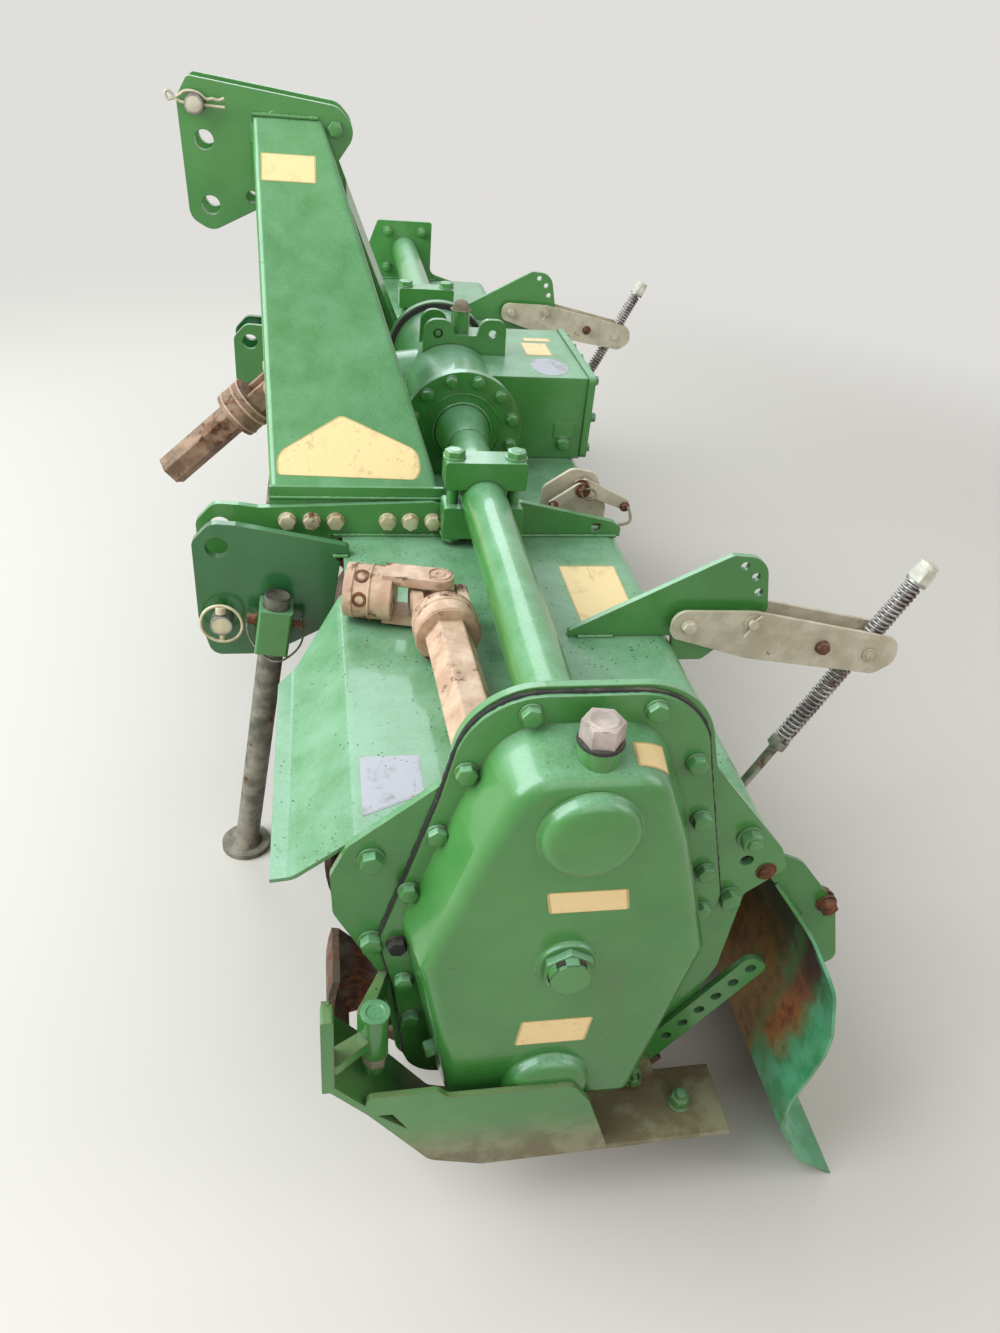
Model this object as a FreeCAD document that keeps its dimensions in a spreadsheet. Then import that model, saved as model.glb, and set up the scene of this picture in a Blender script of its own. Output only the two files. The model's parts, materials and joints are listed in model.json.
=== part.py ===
import FreeCAD, Part
import Sketcher
import math
import os

# A rotavator: a tractor-mounted rotary tiller on a three-point hitch.
# +X points forwards to the tractor, +Y to the end with the side gear case, +Z up from the floor.
# Outlines are written from the rotor's axis (X) and the floor (Z); origin_x then moves every
# piece, so that the frame's origin is under the middle of the machine.

V = FreeCAD.Vector
doc = FreeCAD.newDocument("rotavator")

# Driving sizes in millimetres and degrees: name, value, what it is
SIZES = (
    ("origin_x", 26, "rotor axis ahead of the frame's origin"),
    ("rotor_z", 218, "rotor axis above the floor"),
    ("tube_z", 562, "main tube, gearbox and input axis above the floor"),
    ("idler_z", 399, "idler gear's axis in the side gear case"),
    ("deck_z", 492, "top of the hood's deck"),
    ("half_width", 1000, "outer face of a side plate from the middle"),
    ("side_wall", 8, "side plate's thickness"),
    ("hood_wall", 4, "hood sheet's thickness"),
    ("bend_radius", 18, "inside radius of the hood's bends"),
    ("seat_gap", 0.3, "gap between curved pieces that are held together"),
    ("running_gap", 0.05, "radial clearance of a pin or shaft that turns"),
    ("tube_radius", 30.25, "main tube's outer radius"),
    ("tube_wall", 5, "main tube's wall"),
    ("gearbox_half", 196, "gearbox cover's outer face from the middle"),
    ("cover_radius", 91, "round gearbox cover's radius"),
    ("cover_wall", 16, "round gearbox cover's thickness"),
    ("drum_radius", 80, "gearbox barrel's radius"),
    ("box_front", -96, "front of the gearbox's rear box"),
    ("box_back", -207, "back of the gearbox's rear box"),
    ("box_top", 626, "top of the gearbox's rear box"),
    ("box_half", 128, "half width of the gearbox's rear box"),
    ("box_cover_wall", 11, "rear box cover's thickness"),
    ("rail_face", 405, "outer face of a hitch rail from the middle"),
    ("rail_wall", 10, "hitch rail's thickness"),
    ("ear_face", 465, "outer face of a hitch plate from the middle"),
    ("ear_wall", 12, "hitch plate's thickness"),
    ("lower_pin_x", 347, "lower link pin ahead of the rotor axis"),
    ("lower_pin_z", 400, "lower link pin above the floor"),
    ("lower_pin_radius", 14.25, "lower link pin's radius"),
    ("spare_hole_z", 504, "spare lower link hole above the floor"),
    ("top_pin_x", 373, "top link pin ahead of the rotor axis"),
    ("top_pin_z", 961, "top link pin above the floor"),
    ("top_pin_radius", 12.7, "top link pin's radius"),
    ("head_gap", 52, "gap between the two mast head plates"),
    ("head_wall", 12, "mast head plate's thickness"),
    ("leg_wall", 6, "mast leg's sheet"),
    ("leg_depth", 42, "mast leg's folded edge"),
    ("leg_bend_radius", 9, "outside radius of a mast leg's folds"),
    ("leg_foot_z", 552, "fold at a mast leg's foot above the floor"),
    ("leg_head_drop", 9, "mast leg's head below the top link pin"),
    ("clamp_half", 54, "half length of a tube clamp"),
    ("clamp_width", 41, "tube clamp's width"),
    ("clamp_bolt_radius", 8, "tube clamp's bolt radius"),
    ("flange_radius", 104, "gear case flange's radius about the main tube"),
    ("flange_wall", 8, "gear case flange's thickness"),
    ("case_depth", 60, "gear case's depth over its flange"),
    ("case_round", 16, "round along the gear case's rim"),
    ("journal_radius", 22.5, "rotor journal's radius"),
    ("journal_length", 28, "rotor journal's length in its bearing"),
    ("end_gap", 9, "gap between rotor or rear board and a side plate"),
    ("shaft_radius", 38, "rotor shaft's radius"),
    ("tine_radius", 218, "radius at the tines' tips"),
    ("tine_wall", 8, "tine's thickness"),
    ("tine_reach", 72, "tine blade's sideways reach"),
    ("disc_radius", 98, "tine disc's radius"),
    ("disc_wall", 10, "tine disc's thickness"),
    ("disc_margin", 87, "outermost tine disc's middle from the rotor's end"),
    ("disc_count", 9, "tine discs on the rotor"),
    ("tines_per_side", 3, "tines on each side of a disc"),
    ("hinge_x", -213, "rear board's hinge behind the rotor axis"),
    ("hinge_z", 431, "rear board's hinge above the floor"),
    ("hinge_radius", 8, "rear board hinge rod's radius"),
    ("barrel_wall", 4, "rear board hinge barrel's wall"),
    ("board_wall", 4, "rear board sheet's thickness"),
    ("wing_wall", 5, "rear board rib's thickness"),
    ("wing_reach", 86, "rear board's wing beyond a side plate's face"),
    ("eye_x", -338, "spring rod's eye behind the rotor axis"),
    ("eye_z", 200, "spring rod's eye above the floor"),
    ("eye_pin_radius", 6, "pin in the spring rod's eye"),
    ("eye_play", 2.5, "play of the spring rod's eye on its pin"),
    ("trunnion_x", -466, "spring trunnion behind the rotor axis"),
    ("trunnion_z", 470, "spring trunnion above the floor"),
    ("trunnion_radius", 15, "spring trunnion's radius"),
    ("spring_y", 662, "spring set's plane from the middle"),
    ("bracket_wall", 8, "spring bracket's thickness"),
    ("arm_gap", 32, "gap between a pair of spring arms"),
    ("arm_wall", 5, "spring arm's thickness"),
    ("arm_pin_radius", 6, "pins through the spring arms"),
    ("rod_radius", 7, "spring rod's radius"),
    ("rod_top", 131, "spring rod's top above the trunnion, along the rod"),
    ("spring_radius", 12.5, "spring's outer radius"),
    ("wire_radius", 2, "spring wire's radius"),
    ("upper_spring", 84, "upper spring's length"),
    ("lower_spring", 150, "lower spring's length"),
    ("upper_turns", 12, "upper spring's turns"),
    ("lower_turns", 18, "lower spring's turns"),
    ("socket_half", 22, "half width of a stand socket"),
    ("socket_height", 66, "stand socket's height"),
    ("socket_x", 279, "stand socket's middle ahead of the rotor axis"),
    ("socket_z", 398, "stand socket's middle above the floor"),
    ("stand_radius", 17, "stand leg's radius"),
    ("stand_gap", 0.5, "radial clearance of the stand leg in its socket"),
    ("stand_lean", 8.4, "stand leg's lean forwards"),
    ("stand_above", 48, "stand leg above the socket's middle"),
    ("foot_radius", 36, "stand foot's radius"),
    ("foot_wall", 8, "stand foot's thickness"),
    ("skid_z", 107, "skid sole's underside above the floor"),
    ("skid_wall", 8, "skid sole's thickness"),
    ("skid_width", 81, "skid sole's width"),
    ("guard_wall", 6, "skid guard's thickness"),
    ("guard_top", 234, "skid guard's top above the floor"),
    ("pivot_x", 172, "skid's pivot tube ahead of the rotor axis"),
    ("pivot_out", 50, "skid's pivot tube beyond the side plate"),
    ("pivot_z", 265, "skid's pivot tube's foot above the floor"),
    ("pivot_height", 58, "skid's pivot tube's height"),
    ("strap_wall", 7, "skid strap's thickness"),
    ("snout_end", 188, "gearbox input snout's front"),
    ("spline_radius", 17.46, "input spline shaft's radius over its splines"),
    ("spline_end", 232, "input spline shaft's end"),
    ("cross_x", 286, "input joint's cross ahead of the rotor axis"),
    ("cross_radius", 11, "joint cross pin's radius"),
    ("yoke_radius", 33, "joint yoke's radius"),
    ("shaft_drop", 42, "hanging shaft half's slope below level"),
    ("profile_start", 62, "profile tube's start from its cross"),
    ("profile_end", 238, "profile tube's end from its cross"),
    ("profile_radius", 27, "profile tube's outer radius"),
    ("profile_wall", 4.5, "profile tube's wall"),
    ("loose_reach", 231, "loose shaft half's cross outside a hitch rail"),
    ("loose_room", 48, "deck left free beyond the loose shaft half"),
)

sheet = doc.addObject("Spreadsheet::Sheet", "Sizes")
for row, (name, value, note) in enumerate(SIZES, start=1):
    sheet.set(f"A{row}", note)
    sheet.set(f"B{row}", str(value))
    sheet.setAlias(f"B{row}", name)
doc.recompute()


class Size:
    """The sheet's values by name."""

    def __getattr__(self, name):
        return float(sheet.get(name))


size = Size()
SUBPARTS = []


def subpart(item, label, moved=True):
    """Gives a finished piece its name and puts it in the machine's frame."""
    item.Label = label
    if moved:
        item.setExpression("Placement.Base.x", "Sizes.origin_x")
    SUBPARTS.append(item)
    return item


def rounded(corners):
    """Lines and arcs of a closed outline; a corner is (x, y) or (x, y, radius)."""
    count = len(corners)
    points = [V(c[0], c[1], 0) for c in corners]
    radii = [c[2] if len(c) > 2 else 0 for c in corners]
    cuts = []
    for i in range(count):
        corner, radius = points[i], radii[i]
        to_last = (points[i - 1] - corner).normalize()
        to_next = (points[(i + 1) % count] - corner).normalize()
        if not radius:
            cuts.append((corner, None, corner))
            continue
        half = to_last.getAngle(to_next) / 2
        reach = radius / math.tan(half)
        middle = (to_last + to_next).normalize()
        centre = corner + middle * (radius / math.sin(half))
        cuts.append((corner + to_last * reach, centre - middle * radius, corner + to_next * reach))
    edges = []
    for i in range(count):
        start, middle, end = cuts[i]
        if middle is not None:
            edges.append(Part.Arc(start, middle, end))
        following = cuts[(i + 1) % count][0]
        if end.distanceToPoint(following) > 1e-6:
            edges.append(Part.LineSegment(end, following))
    return edges


def folded(path, wall, radius):
    """Corners of a bent strip's section: path is its outer side, the wall lies on its right."""
    points = [V(x, y, 0) for x, y in path]
    runs = [(b - a).normalize() for a, b in zip(points, points[1:])]
    rights = [V(run.y, -run.x, 0) for run in runs]
    outer, inner = [], []
    for i, point in enumerate(points):
        before, after = rights[max(i - 1, 0)], rights[min(i, len(rights) - 1)]
        miter = (before + after) * (1 / (1 + before.dot(after)))
        turn = 0
        if 0 < i < len(points) - 1:
            turn = runs[i - 1].cross(runs[i]).z
        inside = point + miter * wall
        outer.append((point.x, point.y, (radius + wall if turn < 0 else radius) if turn else 0))
        inner.append((inside.x, inside.y, (radius if turn < 0 else radius + wall) if turn else 0))
    return outer + inner[::-1]


def start_body(name):
    """An empty body."""
    body = doc.addObject("PartDesign::Body", name)
    body.AllowCompound = True
    return body


PLANES = {"side": "XZ_Plane", "top": "XY_Plane", "front": "YZ_Plane"}


def draw(body, plane, name, corners, circles=(), offset="0", tilt=None):
    """A sketch of one rounded outline, with circles of (x, y, radius expression)."""
    sketch = body.newObject("Sketcher::SketchObject", name)
    plane_object = next(f for f in body.Origin.OriginFeatures if f.Role == PLANES[plane])
    sketch.AttachmentSupport = [(plane_object, "")]
    sketch.MapMode = "FlatFace"
    if tilt:
        sketch.AttachmentOffset = tilt
    else:
        sketch.setExpression("AttachmentOffset.Base.z", offset)
    if corners:
        sketch.addGeometry(rounded(corners), False)
    for x, y, radius in circles:
        added = sketch.addGeometry(Part.Circle(V(x, y, 0), V(0, 0, 1), 1), False)
        rule = sketch.addConstraint(Sketcher.Constraint("Radius", added, 1))
        sketch.setExpression(f"Constraints[{rule}]", radius)
    return sketch


def pad(body, sketch, length, backwards=False, taper=0):
    """Thickens a sketch along its normal, or against it."""
    feature = body.newObject("PartDesign::Pad", sketch.Name + "_pad")
    feature.Profile = sketch
    feature.setExpression("Length", length)
    feature.Reversed = backwards
    feature.TaperAngle = taper
    sketch.Visibility = False
    return feature


def pocket(body, sketch, length, forwards=False):
    """Cuts a sketch into its body against the sketch's normal, or along it."""
    feature = body.newObject("PartDesign::Pocket", sketch.Name + "_pocket")
    feature.Profile = sketch
    feature.setExpression("Length", length)
    feature.Reversed = forwards
    return feature


def add_plate(body, name, corners, circles, inner, wall):
    """A flat plate in the XZ plane from Y = inner outwards."""
    return pad(body, draw(body, "side", name, corners, circles, f"-({inner})"), wall, True)


def cut_plate(body, name, corners, circles, inner, wall):
    """Cuts an outline out of a body from Y = inner outwards."""
    return pocket(body, draw(body, "side", name, corners, circles, f"-({inner})"), wall)


def mirrored(source, label):
    """The right-hand twin of a left-hand piece."""
    twin = doc.addObject("Part::Mirroring", label)
    twin.Source = source
    twin.Normal = (0, 1, 0)
    return subpart(twin, label, moved=False)


def pair(source, label):
    """A left-hand piece and its right-hand twin."""
    subpart(source, label + "_left")
    mirrored(source, label + "_right")


def cylinder(name, start, direction, radius, length):
    """A cylinder from a point along a direction, its sizes bound to the sheet."""
    item = doc.addObject("Part::Cylinder", name)
    item.setExpression("Radius", radius)
    item.setExpression("Height", length)
    item.Placement = FreeCAD.Placement(V(*start), FreeCAD.Rotation(V(0, 0, 1), V(*direction)))
    return item


def cone(name, start, direction, first, second, length):
    """A cone from a point along a direction."""
    item = doc.addObject("Part::Cone", name)
    item.setExpression("Radius1", first)
    item.setExpression("Radius2", second)
    item.setExpression("Height", length)
    item.Placement = FreeCAD.Placement(V(*start), FreeCAD.Rotation(V(0, 0, 1), V(*direction)))
    return item


def box(name, low, high):
    """A box between two corners."""
    item = doc.addObject("Part::Box", name)
    item.Length, item.Width, item.Height = (b - a for a, b in zip(low, high))
    item.Placement.Base = V(*low)
    return item


def fused(name, items):
    """Several solids made one."""
    whole = doc.addObject("Part::MultiFuse", name)
    whole.Shapes = items
    return whole


def cut(name, base, tools):
    """One solid less others."""
    tool = tools[0] if len(tools) == 1 else fused(name + "_tools", tools)
    whole = doc.addObject("Part::Cut", name)
    whole.Base = base
    whole.Tool = tool
    return whole


def prism(name, corners, placement, length):
    """A rounded outline in any plane, thickened along its normal."""
    outline = doc.addObject("Sketcher::SketchObject", name + "_outline")
    outline.addGeometry(rounded(corners), False)
    outline.Placement = placement
    item = doc.addObject("Part::Extrusion", name)
    item.Base = outline
    item.DirMode = "Normal"
    item.setExpression("LengthFwd", length)
    item.Solid = True
    return item


UP = (0, 0, 1)
LEFT = (0, 1, 0)
FORWARD = (1, 0, 0)

# Hood: a folded sheet between the side plates
HOOD_PATH = (  # x, z of the outer side, from the rear edge to the front lip
    (size.hinge_x + 2, size.hinge_z + 18),
    (-205, size.deck_z),
    (192, size.deck_z),
    (246, size.deck_z - 42),
    (266, size.deck_z - 44),
)
hood = start_body("hood")
pad(hood, draw(hood, "side", "hood_section", folded(HOOD_PATH, size.hood_wall, size.bend_radius),
               offset="Sizes.half_width - Sizes.side_wall"),
    "2 * (Sizes.half_width - Sizes.side_wall)", True)
for side, sign in (("left", 1), ("right", -1)):  # the front is cut away behind each hitch plate
    notch = [(x, sign * y) for x, y in (
        (186, size.rail_face), (320, size.rail_face), (320, size.ear_face + 225), (266, size.ear_face + 225),
        (246, size.ear_face + 195), (194, size.ear_face + 100), (186, size.ear_face + 92))]
    pocket(hood, draw(hood, "top", "hood_notch_" + side, notch, offset="Sizes.deck_z + 1"), "80")
subpart(hood, "hood")


def hood_front(gap):
    """The hood's front fold, widened by a gap, for the rails that stand over it."""
    wide = [(x + gap, z + gap) for x, z in HOOD_PATH[2:]]
    wide.insert(0, (wide[0][0] - 2 * size.bend_radius, wide[0][1]))
    wide[-1] = (wide[-1][0] + 3 * gap, wide[-1][1])
    return folded(wide, size.hood_wall + 3 * gap, size.bend_radius - gap)


# Side plates, with a lug for the rear board's hinge
SIDE_OUTLINE = (  # x, z, corner radius
    (98, size.tube_z + 101, 74),
    (114, size.tube_z, 20),
    (196, size.deck_z, 14),
    (212, 456, 16),
    (210, 408, 20),
    (160, 306, 30),
    (146, 190, 30),
    (66, 118, 20),
    (-139, 118, 14),
    (-192, 290, 30),
    (-197, size.hinge_z - 31, 8),
    (size.hinge_x - 22, size.hinge_z + 2, 10),
    (size.hinge_x - 10, size.hinge_z + 30, 24),
    (-133, 568, 24),
    (-106, size.tube_z + 101, 74),
)
END_OUTLINE = (  # the right plate has a square head round the main tube, and the left one's lower part
    (66, size.tube_z + 66, 8),
    (112, size.deck_z + 18, 20),
) + SIDE_OUTLINE[2:13] + (
    (-66, size.deck_z + 16, 20),
    (-66, size.tube_z + 66, 6),
)
SIDE_HOLES = (
    (0, size.rotor_z, "Sizes.journal_radius + 20"),
    (size.hinge_x, size.hinge_z, "Sizes.hinge_radius + Sizes.seat_gap"),
    (-189, 447, "7"),
)
side_plate = start_body("side_plate")
add_plate(side_plate, "side_outline", SIDE_OUTLINE, SIDE_HOLES, "Sizes.half_width - Sizes.side_wall",
          "Sizes.side_wall")
subpart(side_plate, "side_plate_left")
end_plate = start_body("end_plate")
add_plate(end_plate, "end_outline", END_OUTLINE, SIDE_HOLES, "Sizes.half_width - Sizes.side_wall",
          "Sizes.side_wall")
mirrored(end_plate, "side_plate_right")
end_plate.setExpression("Placement.Base.x", "Sizes.origin_x")

# Main tube halves, from the gearbox covers to the side plates
tube_length = "Sizes.half_width - Sizes.side_wall - Sizes.gearbox_half"
tube_start = (0, size.gearbox_half, size.tube_z)
tube_outside = fused("tube_outside", [
    cylinder("tube_bar", tube_start, LEFT, "Sizes.tube_radius", tube_length),
    cone("tube_collar", tube_start, LEFT, "Sizes.tube_radius + 12", "Sizes.tube_radius + 1", "70"),
])
tube_bore = cylinder("tube_bore", tube_start, LEFT, "Sizes.tube_radius - Sizes.tube_wall", tube_length)
pair(cut("main_tube", tube_outside, [tube_bore]), "main_tube")

# Gearbox: a barrel between two round covers, an input snout and a rear box
snout_start = (0, 0, size.tube_z)
gearbox = fused("gearbox_whole", [
    cylinder("barrel", (0, -size.gearbox_half, size.tube_z), LEFT, "Sizes.drum_radius",
             "2 * Sizes.gearbox_half"),
    cylinder("cover_left", (0, size.gearbox_half - size.cover_wall, size.tube_z), LEFT,
             "Sizes.cover_radius", "Sizes.cover_wall"),
    cylinder("cover_right", (0, -size.gearbox_half, size.tube_z), LEFT,
             "Sizes.cover_radius", "Sizes.cover_wall"),
    cone("snout", snout_start, FORWARD, "Sizes.drum_radius - 12", "46", "Sizes.snout_end - 40"),
    cylinder("snout_nose", snout_start, FORWARD, "42", "Sizes.snout_end"),
    box("rear_box", (size.box_back, -size.box_half, size.deck_z),
        (size.box_front + 60, size.box_half, size.box_top)),
])
gearbox_spline = cylinder("gearbox_spline", (size.snout_end - 30, 0, size.tube_z), FORWARD,
                          "Sizes.spline_radius", "Sizes.spline_end - Sizes.snout_end + 30")
under_deck = box("under_deck", (-150, -size.gearbox_half - 1, size.deck_z - 60),
                 (150, size.gearbox_half + 1, size.deck_z))
gearbox_round = fused("gearbox_round", [gearbox, gearbox_spline])
subpart(cut("gearbox_housing", gearbox_round, [under_deck]), "gearbox_housing")

# Cover plate on the back of the gearbox's rear box
COVER_OUTLINE = (  # y, z, corner radius
    (-size.box_half - 5, size.deck_z + 2, 8),
    (size.box_half + 5, size.deck_z + 2, 8),
    (size.box_half + 5, size.box_top + 4, 8),
    (-size.box_half - 5, size.box_top + 4, 8),
)
rear_cover = start_body("gearbox_cover")
pad(rear_cover, draw(rear_cover, "front", "cover_outline", COVER_OUTLINE, (),
                     "Sizes.box_back - Sizes.box_cover_wall"), "Sizes.box_cover_wall")
subpart(rear_cover, "gearbox_rear_cover")

# Lifting bracket on the gearbox: a long plate with two ears, a short one and a filler tube
ear_seat = size.tube_z + size.drum_radius
BRACKET_LONG = (
    (48, ear_seat - 16, 0), (46, ear_seat + 38, 20), (4, ear_seat + 38, 20),
    (-4, ear_seat + 14, 6), (-40, ear_seat + 14, 6),
    (-46, ear_seat + 40, 16), (-86, ear_seat + 40, 16), (-88, ear_seat - 16, 0),
)
BRACKET_SHORT = BRACKET_LONG[:3] + ((2, ear_seat - 16, 0),)
top_bracket = start_body("top_bracket")
add_plate(top_bracket, "bracket_long", BRACKET_LONG,
          ((24, ear_seat + 16, "8"), (-65, ear_seat + 18, "6.5")), "16", "10")
add_plate(top_bracket, "bracket_short", BRACKET_SHORT, ((24, ear_seat + 16, "8"),), "-40", "10")
pad(top_bracket, draw(top_bracket, "top", "filler_tube", (), ((-14, 2, "15"),),
                      "Sizes.tube_z + Sizes.drum_radius - 14"), "64")
cut_plate(top_bracket, "bracket_seat", (), (
    (0, size.tube_z, "Sizes.drum_radius + Sizes.seat_gap"),), "-60", "120")
bracket_box_cut = draw(top_bracket, "top", "bracket_box_seat", (
    (size.box_back - 5, -60), (size.box_front + 60, -60), (size.box_front + 60, 60), (size.box_back - 5, 60)),
    (), "Sizes.box_top")
pocket(top_bracket, bracket_box_cut, "60")
subpart(top_bracket, "gearbox_top_bracket")

# Hitch rails on the deck: 6 bolts for the mast leg, a front ear for the lower link
rail_top = size.deck_z + 50
RAIL_OUTLINE = (
    (-206, size.deck_z, 0),
    (202, size.deck_z, 0),
    (190, size.deck_z - 4 - size.hood_wall, 0),
    (204, size.lower_pin_z - 14, 10),
    (258, size.lower_pin_z - 44, 10),
    (306, size.lower_pin_z - 60, 12),
    (364, size.lower_pin_z - 60, 18),
    (378, size.lower_pin_z, 18),
    (378, size.spare_hole_z + 8, 14),
    (354, rail_top - 4, 20),
    (322, rail_top - 6, 14),
    (296, size.deck_z + 40, 30),
    (34 + size.tube_radius, rail_top, 6),
    (20 + size.tube_radius, size.tube_z - size.tube_radius + 6, 6),
    (size.tube_radius - 8, size.tube_z - size.tube_radius - 2, 6),
    (8 - size.tube_radius, size.tube_z - size.tube_radius - 2, 6),
    (-20 - size.tube_radius, size.tube_z - size.tube_radius + 6, 6),
    (-26 - size.tube_radius, rail_top + 2, 6),
    (-194, size.deck_z + 22, 8),
    (-206, size.deck_z + 14, 4),
)
RAIL_BOLTS_X = (259, 227, 195, 125, 94, 63)
RAIL_BOLT_Z = size.deck_z + 22


lower_hole = (size.lower_pin_x, size.lower_pin_z, "Sizes.lower_pin_radius + Sizes.seat_gap")
spare_hole = (size.lower_pin_x, size.spare_hole_z, "Sizes.lower_pin_radius + Sizes.seat_gap")
rail = start_body("rail")
add_plate(rail, "rail_shape", RAIL_OUTLINE, (lower_hole, spare_hole, (-170, size.deck_z + 14, "7.5")),
          "Sizes.rail_face - Sizes.rail_wall", "Sizes.rail_wall")
cut_plate(rail, "rail_slot", hood_front(size.seat_gap), (), "Sizes.rail_face - Sizes.rail_wall - 1",
          "Sizes.rail_wall + 2")
pair(rail, "hitch_rail")

EAR_OUTLINE = (
    (178, size.deck_z, 0),
    (202, size.deck_z, 0),
    (190, size.deck_z - 4 - size.hood_wall, 0),
    (204, size.lower_pin_z - 14, 10),
    (258, size.lower_pin_z - 44, 10),
    (306, size.lower_pin_z - 60, 12),
    (364, size.lower_pin_z - 60, 18),
    (378, size.lower_pin_z, 18),
    (378, size.spare_hole_z + 8, 14),
    (354, size.spare_hole_z + 34, 20),
    (322, size.spare_hole_z + 32, 14),
    (178, size.deck_z + 14, 8),
)
ear = start_body("ear")
add_plate(ear, "ear_shape", EAR_OUTLINE, (lower_hole, spare_hole), "Sizes.ear_face - Sizes.ear_wall",
          "Sizes.ear_wall")
pair(ear, "hitch_plate")

# Lower link pins through the hitch plate and the rail
pin_inner = size.rail_face - size.rail_wall - 10
lower_pin = fused("lower_pin", [
    cylinder("pin_bar", (size.lower_pin_x, pin_inner, size.lower_pin_z), LEFT,
             "Sizes.lower_pin_radius", "Sizes.ear_face - Sizes.rail_face + Sizes.rail_wall + 34"),
    cylinder("pin_head", (size.lower_pin_x, pin_inner - 6, size.lower_pin_z), LEFT,
             "Sizes.lower_pin_radius + 6", "6"),
])
pair(lower_pin, "lower_pin")

# Mast legs: folded channels that lean inwards from the rails to the mast head
lean_run = size.rail_face - size.rail_wall - size.head_gap / 2 - size.head_wall
leg_rise = size.top_pin_z - size.leg_head_drop - size.leg_foot_z
leg_length = math.hypot(lean_run, leg_rise)
leg_lean = math.degrees(math.atan2(lean_run, leg_rise))
leg_plane = FreeCAD.Placement(V(0, size.leg_foot_z, size.rail_wall - size.rail_face),
                              FreeCAD.Rotation(V(1, 0, 0), leg_lean))
LEG_OUTLINE = ((50, -8), (280, -8), (300, leg_length + 20), (206, leg_length + 20))
edge = size.leg_wall
LEG_HOLLOW = ((50 + edge, -30), (280 - edge, -30),
              (300 - edge, leg_length + 60), (206 + edge, leg_length + 60))
leg = start_body("leg")
pad(leg, draw(leg, "side", "leg_outline", LEG_OUTLINE, tilt=leg_plane), "Sizes.leg_depth")
inside = leg_plane.multiply(FreeCAD.Placement(V(0, 0, size.leg_wall), FreeCAD.Rotation()))
pocket(leg, draw(leg, "side", "leg_hollow", LEG_HOLLOW, tilt=inside), "2 * Sizes.leg_depth", True)
doc.recompute()


def long_edges(shape, height, low):
    """Edges of the leg's outer sheet that run its whole length."""
    found = []
    for index, item in enumerate(shape.Edges, start=1):
        ends = [v.Point for v in item.Vertexes]
        if len(ends) == 2 and abs(ends[0].z - ends[1].z) > height:
            outside = max(ends, key=lambda p: p.y)
            if outside.y > low:
                found.append(f"Edge{index}")
    return found


unfolded = leg.Tip
folds = leg.newObject("PartDesign::Fillet", "leg_folds")
folds.Base = (unfolded, long_edges(unfolded.Shape, leg_rise * 0.8, size.rail_face - size.rail_wall))
folds.setExpression("Radius", "Sizes.leg_bend_radius")
add_plate(leg, "leg_foot", ((46, size.deck_z), (284, size.deck_z),
                            (281, size.leg_foot_z + 6, 0), (49, size.leg_foot_z + 6, 0)), (),
          "Sizes.rail_face - Sizes.rail_wall - Sizes.leg_wall", "Sizes.leg_wall")
leg_ends = (  # what the rail, the deck and the mast head leave
    ("leg_rail_side", ((0, 400), (400, 400), (400, 1200), (0, 1200)),
     "Sizes.rail_face - Sizes.rail_wall", "200"),
    ("leg_head_side", ((0, 400), (400, 400), (400, 1200), (0, 1200)),
     "-200", "200 + Sizes.head_gap / 2 + Sizes.head_wall"),
    ("leg_deck_side", ((0, 400), (400, 400), (400, size.deck_z), (0, size.deck_z)), "-200", "800"),
)
for name, outline, inner, wall in leg_ends:
    cut_plate(leg, name, outline, (), inner, wall)
pair(leg, "mast_leg")

# Mast head: two plates with the top link's holes
HEAD_OUTLINE = [(x, size.top_pin_z + up, radius) for x, up, radius in (
    (382, 32, 8),
    (180, 8, 26),
    (152, -21, 26),
    (188, -72, 12),
    (298, -132, 30),
    (362, -164, 22),
    (392, -147, 22),
    (398, 5, 26),
)]
LINK_HOLES = ((size.top_pin_x, size.top_pin_z), (365, size.top_pin_z - 45), (362, size.top_pin_z - 129))
SPACER_X, SPACER_Z = 184, size.top_pin_z - 20
head = start_body("head")
link_hole = "Sizes.top_pin_radius + Sizes.seat_gap"
add_plate(head, "head_shape", HEAD_OUTLINE, [(x, z, link_hole) for x, z in LINK_HOLES] + [
    (304, size.top_pin_z - 115, "8"), (SPACER_X, SPACER_Z, "9")], "Sizes.head_gap / 2", "Sizes.head_wall")
pair(head, "mast_head_plate")

# Top link pin, and the spacer that joins the mast head plates at the back
pin_reach = size.head_gap / 2 + size.head_wall + 22
top_pin = fused("top_pin", [
    cylinder("top_pin_bar", (size.top_pin_x, -pin_reach, size.top_pin_z), LEFT,
             "Sizes.top_pin_radius", "Sizes.head_gap + 2 * Sizes.head_wall + 44"),
    cylinder("top_pin_head", (size.top_pin_x, -pin_reach - 6, size.top_pin_z), LEFT,
             "Sizes.top_pin_radius + 6", "6"),
])
subpart(top_pin, "top_link_pin")
spacer = cylinder("spacer", (SPACER_X, -size.head_gap / 2, SPACER_Z), LEFT, "15", "Sizes.head_gap")
spacer_bolt = cylinder("spacer_bolt", (SPACER_X, -size.head_gap / 2 - size.head_wall - 9, SPACER_Z), LEFT,
                       "8.7", "Sizes.head_gap + 2 * Sizes.head_wall + 18")
subpart(fused("head_spacer", [spacer, spacer_bolt]), "mast_head_spacer")

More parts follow.
